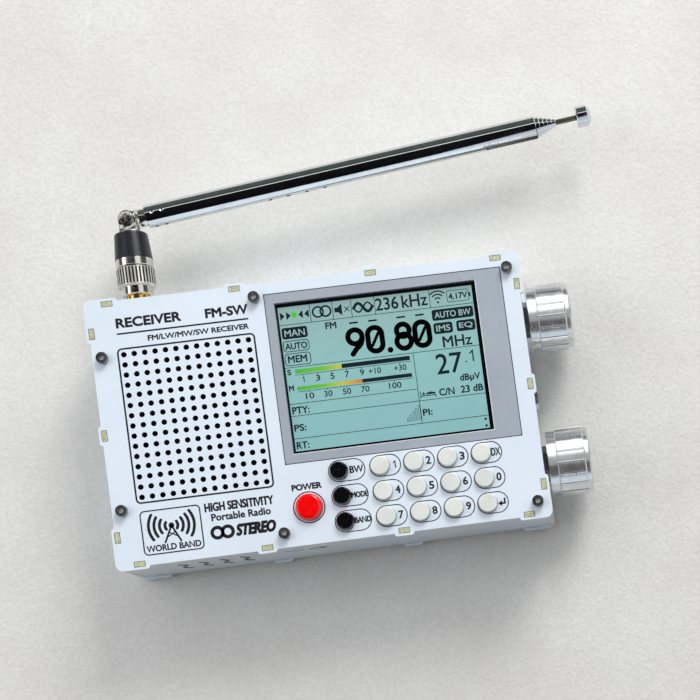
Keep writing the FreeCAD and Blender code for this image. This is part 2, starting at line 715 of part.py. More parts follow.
def knob(prefix, z):
    """A turned aluminium knob: plain skirt, grip with V flutes, plain rim, and a bore for bush and shaft."""
    flutes_end = "(knob_skirt + knob_flutes)"
    bore = "(shaft_radius + 0.02)"
    profile = [
        ("nut_recess_radius", "0"), ("knob_skirt_radius", "0"), ("knob_skirt_radius", "knob_skirt"),
        ("knob_radius - grip_edge", "knob_skirt"), ("knob_radius", "knob_skirt + grip_edge"),
        ("knob_radius", f"{flutes_end} - grip_edge"), ("knob_radius - grip_edge", flutes_end),
        ("knob_skirt_radius", flutes_end), ("knob_skirt_radius", "knob_length"),
        ("0", "knob_length"), ("0", "knob_length - 2.5"),
        (bore, "knob_length - 2.5"), (bore, "bush_recess"), ("bush_radius + 0.3", "bush_recess"),
        ("bush_radius + 0.3", "nut_recess"), ("nut_recess_radius", "nut_recess"),
    ]
    body = turned(prefix + "Knob", profile, (f"{EDGE_X} + knob_gap", "0", z), "+X")
    dress(body, "Chamfer", "knob_edge", lambda edge: is_ring(edge, "knob_skirt_radius", "knob_length"))
    flute = sketch_on(body, "XY_Plane", prefix + "Flute", "knob_skirt")
    draw_polygon(flute, [("knob_radius - flute_deep", "0"), ("knob_radius + 0.1", "-flute_width / 2"),
                         ("knob_radius + 0.1", "flute_width / 2")])
    groove = pocket(body, flute, "knob_flutes", backwards=True)
    polar_copies(body, groove, "flute_count")
    return piece(body, prefix.lower() + "_knob")


def encoder_nuts():
    """The two hexagon nuts that clamp the encoders' bushes to the right wall."""
    nuts = []
    for index, rise in enumerate(("knob_rise", "-knob_rise"), start=1):
        at = (EDGE_X, "0", f"{MIDDLE_Z} + {rise}")
        blank = hexagon(f"NutBlank{index}", at, "nut_corner", "nut", "+X")
        hole = cylinder(f"NutHole{index}", at, "bush_radius + run_gap", "nut", "+X")
        nuts.append(cut(f"Nut{index}", blank, hole))
    return piece(group("EncoderNuts", nuts), "encoder_nuts")


# ---------------------------------------------------------------- sockets


def phones_socket():
    """The earphone socket: a moulded box behind the right wall and a nose through it, bored for the plug."""
    low = (f"{WALL_INNER} - phones_deep", "-4", f"{MIDDLE_Z} - 4")
    case = block("PhonesCase", low, ("phones_deep", "8", "8"))
    nose = cylinder("PhonesNose", (WALL_INNER, "0", MIDDLE_Z), "phones_radius", "board + phones_nut", "+X")
    bore_start = f"{WALL_INNER} - phones_deep + 1"
    bore_length = "phones_deep - 1 + board + phones_nut"
    bore = cylinder("PhonesBore", (bore_start, "0", MIDDLE_Z), "phones_bore", bore_length, "+X")
    return piece(cut("PhonesSocket", join("PhonesBlank", [case, nose]), bore), "phones_socket")


def phones_nut():
    at = (EDGE_X, "0", MIDDLE_Z)
    ring = cylinder("PhonesRing", at, "phones_nut_radius", "phones_nut", "+X")
    hole = cylinder("PhonesRingHole", at, "phones_radius + run_gap", "phones_nut", "+X")
    return piece(cut("PhonesNut", ring, hole), "phones_nut")


def usb_socket():
    """The charging socket: a thin metal shell, its closed rear and the contact tongue inside."""
    start = f"-{EDGE_X}"
    half_y, half_z = "usb_thick / 2", "usb_width / 2"
    low = (start, f"-{half_y}", f"{MIDDLE_Z} - {half_z}")
    shell = block("UsbShell", low, ("usb_deep", "usb_thick", "usb_width"))
    inner_y, inner_z = "(usb_thick / 2 - usb_wall)", "(usb_width / 2 - usb_wall)"
    hollow_low = (start, f"-{inner_y}", f"{MIDDLE_Z} - {inner_z}")
    hollow = block("UsbHollow", hollow_low, ("usb_deep - 1", f"2 * {inner_y}", f"2 * {inner_z}"))
    tongue_corner = (f"{start} + 0.8", "-0.35", f"{MIDDLE_Z} - 3.3")
    tongue = block("UsbTongue", tongue_corner, ("usb_deep - 1", "0.7", "6.6"))
    return piece(join("UsbSocket", [cut("UsbCan", shell, hollow), tongue]), "usb_socket")


# ---------------------------------------------------------------- antenna, lower end

ANTENNA_FOOT = ("antenna_x", "0", EDGE_HIGH)


def antenna_jack():
    """The coaxial jack: a flange under the top wall and a tube that stands up through it."""
    profile = [
        ("0", "-8"), ("1.5", "-8"), ("1.5", "-board - 2"), ("jack_flange", "-board - 2"),
        ("jack_flange", "-board"), ("jack_radius", "-board"), ("jack_radius", "jack_top"),
        ("jack_bore", "jack_top"), ("jack_bore", "4"), ("0", "4"),
    ]
    return piece(turned("AntennaJack", profile, ANTENNA_FOOT), "antenna_jack")


def jack_nut():
    blank = hexagon("JackNutBlank", ANTENNA_FOOT, "jack_nut_corner", "jack_nut")
    hole = cylinder("JackNutHole", ANTENNA_FOOT, "jack_radius + run_gap", "jack_nut")
    return piece(cut("JackNut", blank, hole), "jack_nut")


def coupling_ring():
    """The knurled ring that locks the plug on the jack, with a plain skirt below its knurling."""
    profile = [
        ("ring_bore", "skirt_low"), ("skirt_radius - 0.2", "skirt_low"),
        ("skirt_radius", "skirt_low + 0.2"),
        ("skirt_radius", "knurl_low"), ("knurl_radius", "knurl_low + 0.3"),
        ("knurl_radius", "knurl_high - 0.3"), ("knurl_radius - 0.5", "knurl_high"),
        ("ring_bore", "knurl_high"),
    ]
    body = turned("CouplingRing", profile, ANTENNA_FOOT)
    groove = sketch_on(body, "XY_Plane", "KnurlGroove", "knurl_low + 0.6")
    foot = "knurl_radius - knurl_deep"
    draw_rectangle(groove, foot, "-knurl_width / 2", "knurl_radius + 1", "knurl_width / 2")
    knurl = pocket(body, groove, "knurl_high - knurl_low - 1.1", backwards=True)
    polar_copies(body, knurl, "knurl_count")
    return piece(body, "coupling_ring")


def plug_body():
    """The plug: a stem inside the jack, a collar above the ring and a spigot that carries the elbow."""
    profile = [
        ("0", "5"), ("plug_stem", "5"), ("plug_stem", "collar_low"), ("collar_radius - 0.3", "collar_low"),
        ("collar_radius", "collar_low + 0.3"), ("collar_radius", "collar_high"),
        ("spigot_radius", "collar_high"), ("spigot_radius", "elbow_low - 0.1"), ("0", "elbow_low - 0.1"),
    ]
    return piece(turned("PlugBody", profile, ANTENNA_FOOT), "plug_body")


def antenna_sleeve():
    """The black moulded sleeve, narrower towards the elbow, with a rounded top rim."""
    bore = "(spigot_radius + 0.03)"
    profile = [
        (bore, "sleeve_low"), ("sleeve_foot", "sleeve_low"),
        ("sleeve_head", "sleeve_high"), (bore, "sleeve_high"),
    ]
    body = turned("AntennaSleeve", profile, ANTENNA_FOOT)
    dress(body, "Fillet", "sleeve_round", lambda edge: is_ring(edge, "sleeve_head", "sleeve_high"))
    return piece(body, "antenna_sleeve")


def elbow_base():
    """The clevis: a round foot, a block with a rounded top, a slot for the tongue and the pivot's bore."""
    foot_z = f"({EDGE_HIGH} + elbow_low)"
    pivot_z = f"({EDGE_HIGH} + pivot_high)"
    foot = cylinder("ElbowFoot", ("antenna_x", "0", foot_z), "elbow_foot_radius", "elbow_foot")
    low = ("antenna_x - elbow_half_x", "-elbow_half_y", foot_z)
    post = block("ElbowPost", low, ("2 * elbow_half_x", "2 * elbow_half_y", f"{pivot_z} - {foot_z}"))
    crown_foot = ("antenna_x", "-elbow_half_y", pivot_z)
    crown = cylinder("ElbowCrown", crown_foot, "elbow_half_x", "2 * elbow_half_y", "+Y")
    slot_low = ("antenna_x - 4", "-tongue_half - run_gap", f"{foot_z} + 1.2")
    slot = block("ElbowSlot", slot_low, ("8", "2 * (tongue_half + run_gap)", "10"))
    bore_start = ("antenna_x", "-elbow_half_y", pivot_z)
    bore = cylinder("ElbowBore", bore_start, "pivot_radius + 0.02", "2 * elbow_half_y", "+Y")
    return piece(cut("ElbowBase", join("ElbowBlank", [foot, post, crown]), slot, bore), "elbow_base")


def pivot_screw():
    """A cross-head screw across the clevis, with its riveted tail at the back."""
    z = f"({EDGE_HIGH} + pivot_high)"
    front, back = "(-elbow_half_y)", "elbow_half_y"
    head = cylinder("PivotHead", ("antenna_x", front, z), "pivot_head_radius", "pivot_head", "-Y")
    shank = cylinder("PivotShank", ("antenna_x", front, z), "pivot_radius", "2 * elbow_half_y", "+Y")
    tail = cylinder("PivotTail", ("antenna_x", back, z), "pivot_tail_radius", "pivot_tail", "+Y")
    face = f"{front} - pivot_head"
    wide = block("CrossWide", ("antenna_x - 1.4", face, f"{z} - 0.3"), ("2.8", "0.7", "0.6"))
    tall = block("CrossTall", ("antenna_x - 0.3", face, f"{z} - 1.4"), ("0.6", "0.7", "2.8"))
    return piece(cut("PivotScrew", join("PivotBlank", [head, shank, tail]), wide, tall), "pivot_screw")


# ---------------------------------------------------------------- antenna, telescopic part

PIVOT = ("antenna_x", "0", f"{EDGE_HIGH} + pivot_high")


def antenna_knuckle():
    """The tongue inside the clevis, its shoulder and the spigot pressed into the outer tube."""
    body = new_body("AntennaKnuckle")
    side = sketch_on(body, "XZ_Plane", "TongueDisc", "-tongue_half")
    draw_circle(side, ("0", "0"), "tongue_radius")
    pad(body, side, "2 * tongue_half")
    web = sketch_on(body, "XZ_Plane", "TongueWeb", "-tongue_half")
    draw_rectangle(web, "-tongue_radius", "0", "tongue_radius", "shoulder_low + 0.2")
    pad(body, web, "2 * tongue_half")
    shoulder = sketch_on(body, "XY_Plane", "Shoulder", "shoulder_low")
    draw_circle(shoulder, ("0", "0"), "shoulder_radius")
    pad(body, shoulder, "tube_start - shoulder_low")
    spigot = sketch_on(body, "XY_Plane", "Spigot", "tube_start")
    draw_circle(spigot, ("0", "0"), "tube_radius - tube_wall - 0.02")
    pad(body, spigot, "knuckle_end - tube_start")
    bore = sketch_on(body, "XZ_Plane", "PivotBore", "tongue_half")
    draw_circle(bore, ("0", "0"), "pivot_radius + run_gap")
    pocket(body, bore, "2 * tongue_half")
    put(body, PIVOT, ALONG["antenna"])
    return piece(body, "antenna_knuckle")


def dimple(name, along, down, forward):
    """A ball that bites into the outer tube. down and forward say which side it is on."""
    reach = "(tube_radius + dimple_radius - dimple_deep)"
    place = (
        f"antenna_x + {along} * cos(antenna_tilt) + {down} * {reach} * sin(antenna_tilt)",
        f"-1 * {forward} * {reach}",
        f"{PIVOT[2]} + {along} * sin(antenna_tilt) - {down} * {reach} * cos(antenna_tilt)",
    )
    ball = doc.addObject("Part::Sphere", name)
    bind(ball, Radius="dimple_radius")
    put(ball, place)
    return ball


def outer_tube():
    """The outermost tube with its dimples."""
    balls = []
    for row, along in enumerate(CRIMP_ROWS, start=1):
        for side, (down, forward) in enumerate([(1, 0), (0, 1), (-1, 0), (0, -1)], start=1):
            balls.append(dimple(f"Crimp{row}_{side}", along, down, forward))
    for index, along in enumerate(UNDERSIDE_DIMPLES, start=1):
        balls.append(dimple(f"Dimple{index}", along, 1, 0))
    return piece(cut("OuterTube", tube(1), *balls), "antenna_tube_1")


def tube(index):
    """One telescopic tube. Tube 1 is the outermost, and each next one is a step thinner and shows a stub more.
    Its mouth is rolled in, close round the next tube."""
    steps = index - 1
    outer = f"(tube_radius - {steps} * tube_step)"
    inner = f"({outer} - tube_wall)"
    mouth = f"({outer} - tube_lip)"
    start = "tube_start" if index == 1 else f"nest_start + {steps - 1} * nest_step"
    end = f"(tube_end + {steps} * stub)"
    profile = [
        (inner, start), (outer, start), (outer, f"{end} - tube_edge"), (f"{outer} - tube_edge", end),
        (mouth, end), (mouth, f"{end} - 0.6"), (inner, f"{end} - 0.8"),
    ]
    return turned(f"Tube{index}", profile, PIVOT, "antenna")


def antenna_rod():
    """The solid innermost section."""
    radius = f"(tube_radius - {TELESCOPIC_TUBES} * tube_step)"
    start = f"nest_start + {TELESCOPIC_TUBES - 1} * nest_step"
    profile = [("0", start), (radius, start), (radius, "rod_end"), ("0", "rod_end")]
    return piece(turned("AntennaRod", profile, PIVOT, "antenna"), "antenna_rod")


def tip_cap():
    """The button at the rod's end: flat behind, domed in front."""
    bore = f"(tube_radius - {TELESCOPIC_TUBES} * tube_step + 0.02)"
    profile = [
        (bore, "tip_low"), ("tip_radius - tip_edge", "tip_low"), ("tip_radius", "tip_low + tip_edge"),
        ("tip_radius", "tip_high - tip_dome"), ("tip_radius - tip_dome", "tip_high - 0.2"),
        ("0", "tip_high"), ("0", "rod_end + 0.02"), (bore, "rod_end + 0.02"),
    ]
    return piece(turned("TipCap", profile, PIVOT, "antenna"), "tip_cap")


# ---------------------------------------------------------------- assembly


def build():
    front_panel()
    back_panel()
    top_wall()
    bottom_wall()
    left_wall()
    right_wall()
    case_screws("front_screws", FRONT_FACE, "-Y")
    case_screws("rear_screws", "case_depth / 2", "+Y")
    spacers()
    display_bezel()
    lcd_module()
    main_board()
    key_switches()
    battery_pack()
    for row in buttons():
        button(*row)
    speaker_frame()
    speaker_cone()
    for prefix, rise in (("Upper", "knob_rise"), ("Lower", "-knob_rise")):
        z = f"({MIDDLE_Z} + {rise})"
        encoder(prefix, z)
        rotor(prefix, z)
        shaft(prefix, z)
        knob(prefix, z)
    encoder_nuts()
    phones_socket()
    phones_nut()
    usb_socket()
    antenna_jack()
    jack_nut()
    coupling_ring()
    plug_body()
    antenna_sleeve()
    elbow_base()
    pivot_screw()
    antenna_knuckle()
    outer_tube()
    for index in range(2, TELESCOPIC_TUBES + 1):
        piece(tube(index), f"antenna_tube_{index}")
    antenna_rod()
    tip_cap()


def check_document():
    """Stops if any object failed to compute or any sub-part has no valid shape."""
    for item in doc.Objects:
        if "Invalid" in item.State or "Error" in item.State:
            raise ValueError(f"{item.Label} failed: {item.State}")
    for item in pieces:
        if item.Shape.isNull() or not item.Shape.isValid() or not item.Shape.Solids:
            raise ValueError(f"{item.Label} has no valid solid")


def write_steps():
    os.makedirs("parts", exist_ok=True)
    for item in pieces:
        item.Shape.exportStep(f"parts/{item.Label}.step")


build()
doc.recompute()
check_document()
write_steps()
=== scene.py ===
import json
import math

import bmesh
import bpy
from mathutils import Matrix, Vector


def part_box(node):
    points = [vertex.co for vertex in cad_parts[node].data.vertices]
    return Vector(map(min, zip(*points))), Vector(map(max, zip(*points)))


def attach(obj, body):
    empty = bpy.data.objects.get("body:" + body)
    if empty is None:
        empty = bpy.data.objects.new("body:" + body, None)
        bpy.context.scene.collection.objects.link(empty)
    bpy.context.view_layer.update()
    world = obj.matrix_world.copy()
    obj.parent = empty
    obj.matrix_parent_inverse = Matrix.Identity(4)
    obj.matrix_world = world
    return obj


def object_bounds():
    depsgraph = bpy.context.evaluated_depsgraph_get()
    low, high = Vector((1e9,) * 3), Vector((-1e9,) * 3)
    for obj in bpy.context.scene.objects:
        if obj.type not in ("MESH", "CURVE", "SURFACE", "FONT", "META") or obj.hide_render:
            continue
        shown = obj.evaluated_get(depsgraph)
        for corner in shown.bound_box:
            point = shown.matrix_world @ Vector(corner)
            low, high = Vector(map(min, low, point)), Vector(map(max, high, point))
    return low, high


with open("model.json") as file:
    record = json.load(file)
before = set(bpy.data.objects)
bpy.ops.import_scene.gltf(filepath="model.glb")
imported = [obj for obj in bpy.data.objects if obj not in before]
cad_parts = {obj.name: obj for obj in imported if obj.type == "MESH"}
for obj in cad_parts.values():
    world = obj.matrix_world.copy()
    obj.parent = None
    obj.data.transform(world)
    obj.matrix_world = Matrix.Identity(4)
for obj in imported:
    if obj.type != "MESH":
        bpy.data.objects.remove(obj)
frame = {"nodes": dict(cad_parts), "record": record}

# Looks for the shortwave receiver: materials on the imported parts, the printing on its boards, the picture on
# its display, the cloth behind its grille, and the studio round it. Lengths are millimetres until a mesh or
# an object is placed, which is in metres.

MM = 0.001
NODES = frame["nodes"]
CAD_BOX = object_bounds()


def box_mm(node):
    """A CAD node's lowest and highest corners in millimetres."""
    low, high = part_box(node)
    return low / MM, high / MM


PANEL_LOW, PANEL_HIGH = box_mm("front_panel")
BEZEL_LOW, BEZEL_HIGH = box_mm("display_bezel")
MODULE_LOW, MODULE_HIGH = box_mm("lcd_module")
WALL_FACE_Z = box_mm("bottom_wall")[0].z
FACE_Y = PANEL_LOW.y
INK = 0.02

# ---------------------------------------------------------------- shader building


def colour(red, green, blue):
    """A linear colour from 0..255 display values."""
    def linear(value):
        share = value / 255
        return share / 12.92 if share <= 0.04045 else ((share + 0.055) / 1.055) ** 2.4
    return (linear(red), linear(green), linear(blue), 1)


class Shader:
    """One material's node tree, built round its Principled shader."""

    def __init__(self, name):
        self.material = bpy.data.materials.new(name)
        self.material.use_nodes = True
        self.tree = self.material.node_tree
        self.principled = self.tree.nodes["Principled BSDF"]
        self.place = self.node("ShaderNodeTexCoord").outputs["Object"]

    def node(self, kind, **settings):
        made = self.tree.nodes.new(kind)
        for key, value in settings.items():
            setattr(made, key, value)
        return made

    def feed(self, socket, value):
        if isinstance(value, bpy.types.NodeSocket):
            self.tree.links.new(value, socket)
        else:
            socket.default_value = value

    def set(self, **inputs):
        """Sets Principled inputs. An underscore in a name stands for a space."""
        for key, value in inputs.items():
            self.feed(self.principled.inputs[key.replace("_", " ")], value)
        return self.material

    def math(self, operation, first, second=0.0):
        made = self.node("ShaderNodeMath", operation=operation)
        self.feed(made.inputs[0], first)
        self.feed(made.inputs[1], second)
        return made.outputs[0]

    def span(self, value, low, high, start=0.0, end=1.0):
        """Maps low..high to start..end."""
        made = self.node("ShaderNodeMapRange")
        for index, number in enumerate((value, low, high, start, end)):
            self.feed(made.inputs[index], number)
        return made.outputs[0]

    def stretched(self, x=1.0, y=1.0, z=1.0):
        made = self.node("ShaderNodeVectorMath", operation="MULTIPLY")
        self.feed(made.inputs[0], self.place)
        self.feed(made.inputs[1], (x, y, z))
        return made.outputs[0]

    def noise(self, size, detail=2.0, where=None):
        """Noise whose blobs are about size millimetres wide."""
        made = self.node("ShaderNodeTexNoise")
        self.feed(made.inputs["Vector"], where or self.place)
        self.feed(made.inputs["Scale"], 1 / (size * MM))
        self.feed(made.inputs["Detail"], detail)
        return made.outputs["Fac"]

    def cells(self, size):
        """The distance to the nearest border between cells about size millimetres wide."""
        made = self.node("ShaderNodeTexVoronoi", feature="DISTANCE_TO_EDGE")
        self.feed(made.inputs["Vector"], self.place)
        self.feed(made.inputs["Scale"], 1 / (size * MM))
        return made.outputs["Distance"]

    def threads(self, scale, distortion=0.0):
        """Waves along X and along Z, as woven threads."""
        pair = [self.node("ShaderNodeTexWave", bands_direction=way) for way in ("X", "Z")]
        for wave in pair:
            self.feed(wave.inputs["Vector"], self.place)
            self.feed(wave.inputs["Scale"], scale)
            self.feed(wave.inputs["Distortion"], distortion)
        return pair

    def axis(self, name):
        """The X, Y or Z coordinate in millimetres."""
        made = self.node("ShaderNodeSeparateXYZ")
        self.feed(made.inputs[0], self.place)
        return self.math("DIVIDE", made.outputs[name], MM)

    def ramp(self, factor, *stops):
        """A colour ramp through (position, colour) stops."""
        made = self.node("ShaderNodeValToRGB")
        elements = made.color_ramp.elements
        while len(elements) < len(stops):
            elements.new(0.5)
        for element, (position, shade) in zip(elements, stops):
            element.position = position
            element.color = shade
        self.feed(made.inputs[0], factor)
        return made.outputs["Color"]

    def mix(self, factor, first, second):
        made = self.node("ShaderNodeMix", data_type="RGBA")
        self.feed(made.inputs[0], factor)
        self.feed(made.inputs[6], first)
        self.feed(made.inputs[7], second)
        return made.outputs[2]

    def bevel(self, radius):
        """The normal of the same surface with its sharp edges rounded."""
        made = self.node("ShaderNodeBevel", samples=4)
        self.feed(made.inputs["Radius"], radius * MM)
        return made.outputs["Normal"]

    def bump(self, height, depth, normal=None):
        """Raises the surface by height, where 1 stands for depth millimetres."""
        made = self.node("ShaderNodeBump")
        self.feed(made.inputs["Strength"], 1.0)
        self.feed(made.inputs["Distance"], depth * MM)
        self.feed(made.inputs["Height"], height)
        if normal is not None:
            self.feed(made.inputs["Normal"], normal)
        return made.outputs["Normal"]


def darker(shade, share):
    return tuple(part * share for part in shade[:3]) + (1,)


def moulded(name, shade, roughness, grain=0.25, depth=0.006, edge=0.15, **extra):
    """Moulded plastic: fine grain, soft blotches in its sheen and a faint unevenness in its colour."""
    s = Shader(name)
    blotch = s.noise(6, 3)
    fine = s.noise(grain, 2)
    tone = s.mix(s.span(blotch, 0.3, 0.7), darker(shade, 0.9), shade)
    dust = s.span(s.noise(0.6, 4), 0.62, 0.8)
    tone = s.mix(s.math("MULTIPLY", dust, 0.12), tone, colour(200, 198, 190))
    sheen = s.math("ADD", s.span(blotch, 0.3, 0.7, roughness * 0.85, roughness * 1.2),
                   s.span(fine, 0.3, 0.7, -0.03, 0.03))
    return s.set(Base_Color=tone, Roughness=sheen, Normal=s.bump(fine, depth, s.bevel(edge)), **extra)


def metal(name, shade, roughness, along="z", line=0.06, depth=0.0012, edge=0.12, smear=0.06):
    """Worked metal: fine lines across one axis, handling marks in its sheen and tarnish in its hollows."""
    s = Shader(name)
    squeeze = {"x": (1, 0.04, 0.04), "y": (0.04, 1, 0.04), "z": (0.04, 0.04, 1)}[along]
    lines = s.noise(line, 3, s.stretched(*squeeze))
    marks = s.noise(5, 4)
    tone = s.mix(s.span(marks, 0.35, 0.7), darker(shade, 0.88), shade)
    tone = s.mix(s.span(lines, 0.3, 0.7, 0, 0.18), tone, darker(shade, 0.6))
    sheen = s.math("ADD", s.span(lines, 0.25, 0.75, roughness * 0.7, roughness * 1.35),
                   s.span(marks, 0.35, 0.75, 0, smear))
    return s.set(Base_Color=tone, Metallic=1.0, Roughness=sheen, Normal=s.bump(lines, depth, s.bevel(edge)))


# ---------------------------------------------------------------- board materials

MASK_WHITE = colour(226, 238, 248)
GLASS_WEAVE = 500


def solder_mask():
    """White solder mask: a satin coat over glass weave, with faint copper relief and a few specks."""
    s = Shader("solder_mask")
    cloud = s.noise(22, 3)
    tone = s.mix(s.span(cloud, 0.3, 0.7), colour(221, 234, 245), MASK_WHITE)
    speck = s.math("GREATER_THAN", s.noise(0.5, 2), 0.76)
    tone = s.mix(s.math("MULTIPLY", speck, 0.25), tone, colour(178, 184, 190))
    threads = s.threads(GLASS_WEAVE, 1.5)
    weave = s.math("ADD", threads[0].outputs["Fac"], threads[1].outputs["Fac"])
    orange = s.noise(0.9, 2)
    height = s.math("ADD", s.math("MULTIPLY", weave, 0.25), orange)
    sheen = s.math("ADD", s.span(orange, 0.3, 0.7, 0.3, 0.4), s.span(cloud, 0.3, 0.7, 0, 0.08))
    return s.set(Base_Color=tone, Roughness=sheen, Normal=s.bump(height, 0.004, s.bevel(0.12)),
                 Specular_IOR_Level=0.45)


def board_edge(name, pale, dark):
    """A cut board's edge: layers of glass fibre in resin, stepping through the board's thickness."""
    s = Shader(name)
    fibre = s.noise(0.35, 4, s.stretched(0.5, 6, 0.5))
    chips = s.noise(0.25, 3)
    tone = s.mix(s.span(fibre, 0.3, 0.7), dark, pale)
    tone = s.mix(s.span(chips, 0.6, 0.75, 0, 0.6), tone, colour(236, 236, 220))
    return s.set(Base_Color=tone, Roughness=s.span(chips, 0.3, 0.7, 0.5, 0.75),
                 Normal=s.bump(s.math("ADD", fibre, chips), 0.02))


def painted_hole_shade():
    """The inside wall of a drilled grille hole, painted near-black: painted shade in the hole."""
    return moulded("painted_hole_shade", colour(24, 25, 28), 0.7, edge=0.02)


def printed_ink(name, shade):
    """Screen ink: opaque, with a slight tooth and thin spots."""
    s = Shader(name)
    tooth = s.noise(0.12, 3)
    tone = s.mix(s.span(tooth, 0.35, 0.7), shade, darker(shade, 1.6))
    return s.set(Base_Color=tone, Roughness=s.span(tooth, 0.3, 0.7, 0.45, 0.6),
                 Normal=s.bump(tooth, 0.003))


def green_board():
    """Green solder mask with darker ground planes between traces."""
    s = Shader("green_board")
    cells = s.cells(2.2)
    trace = s.math("GREATER_THAN", cells, 0.06)
    tone = s.mix(trace, colour(70, 150, 80), colour(22, 90, 48))
    return s.set(Base_Color=tone, Roughness=s.span(s.noise(1.5, 2), 0.3, 0.7, 0.25, 0.4),
                 Normal=s.bump(cells, 0.03, s.bevel(0.1)))


# ---------------------------------------------------------------- display materials


def bezel_film():
    """The silver-grey frame: metallic pigment in a matt film, so it sparkles finely."""
    s = Shader("bezel_film")
    flakes = s.noise(0.14, 2)
    cloud = s.noise(18, 2)
    tone = s.mix(s.span(cloud, 0.3, 0.7), colour(156, 168, 181), colour(169, 180, 192))
    tone = s.mix(s.span(flakes, 0.35, 0.7), tone, colour(192, 201, 211))
    return s.set(Base_Color=tone, Metallic=0.25, Roughness=s.span(flakes, 0.3, 0.7, 0.5, 0.34),
                 Normal=s.bump(flakes, 0.004, s.bevel(0.15)))


SCREEN_GLOW = 0.8
PIXEL = 0.2


def screen_glass():
    """The blue-green picture area: a fine pixel grid, brighter and greyer towards its top."""
    s = Shader("screen_glass")
    height = s.span(s.axis("Z"), MODULE_LOW.z, MODULE_HIGH.z)
    tone = s.ramp(height, (0.0, colour(123, 165, 173)), (0.55, colour(132, 174, 174)),
                  (1.0, colour(139, 156, 157)))
    pixel = s.node("ShaderNodeTexChecker")
    s.feed(pixel.inputs["Vector"], s.place)
    s.feed(pixel.inputs["Scale"], 1 / (PIXEL * MM))
    s.feed(pixel.inputs["Color1"], (1, 1, 1, 1))
    s.feed(pixel.inputs["Color2"], (0.93, 0.95, 0.94, 1))
    grid = s.node("ShaderNodeMix", data_type="RGBA", blend_type="MULTIPLY")
    s.feed(grid.inputs[0], 1.0)
    s.feed(grid.inputs[6], tone)
    s.feed(grid.inputs[7], pixel.outputs["Color"])
    mottle = s.span(s.noise(7, 3), 0.3, 0.7, 0.96, 1.04)
    glow = s.math("MULTIPLY", mottle, SCREEN_GLOW)
    return s.set(Base_Color=darker(colour(141, 197, 191), 0.35), Roughness=0.35,
                 Emission_Color=grid.outputs[2], Emission_Strength=glow, Specular_IOR_Level=0.3)


def screen_ink(name, shade, glow):
    """A dark or lit shape on the screen, grained by the pixels under it."""
    s = Shader(name)
    grain = s.noise(0.22, 2)
    tone = s.mix(s.span(grain, 0.35, 0.65), darker(shade, 0.85), shade)
    return s.set(Base_Color=darker(shade, 0.3), Roughness=0.6, Emission_Color=tone, Emission_Strength=glow,
                 Specular_IOR_Level=0.0)


def meter_colours():
    """The lit part of both meters, from green through yellow to orange along X."""
    s = Shader("meter_colours")
    reach = s.span(s.axis("X"), METER_LEFT, METER_ORANGE)
    tone = s.ramp(reach, (0.0, colour(48, 176, 34)), (0.42, colour(96, 192, 30)), (0.7, colour(196, 196, 44)),
                  (0.86, colour(214, 150, 44)), (1.0, colour(206, 100, 40)))
    return s.set(Base_Color=(0.05, 0.08, 0.03, 1), Roughness=0.4, Emission_Color=tone, Emission_Strength=0.85)


def screen_border():
    """The glossy black margin of the display module."""
    return moulded("screen_border", colour(10, 11, 14), 0.18, depth=0.001, edge=0.05)


# ---------------------------------------------------------------- other materials


CLOTH_WEAVE = 900


def cloth():
    """Black speaker cloth: a plain weave of round threads."""
    s = Shader("grille_cloth")
    threads = s.threads(CLOTH_WEAVE)
    weave = s.math("MULTIPLY", threads[0].outputs["Fac"], threads[1].outputs["Fac"])
    tone = s.mix(weave, colour(7, 7, 8), colour(20, 20, 22))
    return s.set(Base_Color=tone, Roughness=0.95, Normal=s.bump(weave, 0.05), Specular_IOR_Level=0.1)


def red_gloss():
    return moulded("power_red", colour(255, 0, 4), 0.12, grain=0.5, depth=0.001, Coat_Weight=0.6,
                   Coat_Roughness=0.05)


def battery_wrap():
    s = Shader("battery_wrap")
    folds = s.noise(3, 4, s.stretched(1, 1, 0.3))
    tone = s.mix(s.span(folds, 0.35, 0.7), colour(60, 92, 150), colour(84, 118, 172))
    return s.set(Base_Color=tone, Roughness=0.28, Normal=s.bump(folds, 0.15))


def cast_nickel():
    """Plated casting: a gently uneven bright surface that breaks up what it mirrors."""
    s = Shader("cast_nickel")
    waves = s.noise(3.2, 0)
    marks = s.noise(0.5, 3)
    tone = s.mix(s.span(marks, 0.35, 0.65), colour(206, 203, 194), colour(246, 244, 238))
    return s.set(Base_Color=tone, Metallic=1.0, Roughness=s.span(marks, 0.3, 0.7, 0.1, 0.2),
                 Normal=s.bump(waves, 0.5, s.bevel(0.25)))


def paper_cone():
    s = Shader("cone_paper")
    pulp = s.noise(0.5, 5)
    tone = s.mix(pulp, colour(14, 14, 15), colour(44, 43, 42))
    return s.set(Base_Color=tone, Roughness=0.9, Normal=s.bump(pulp, 0.04))


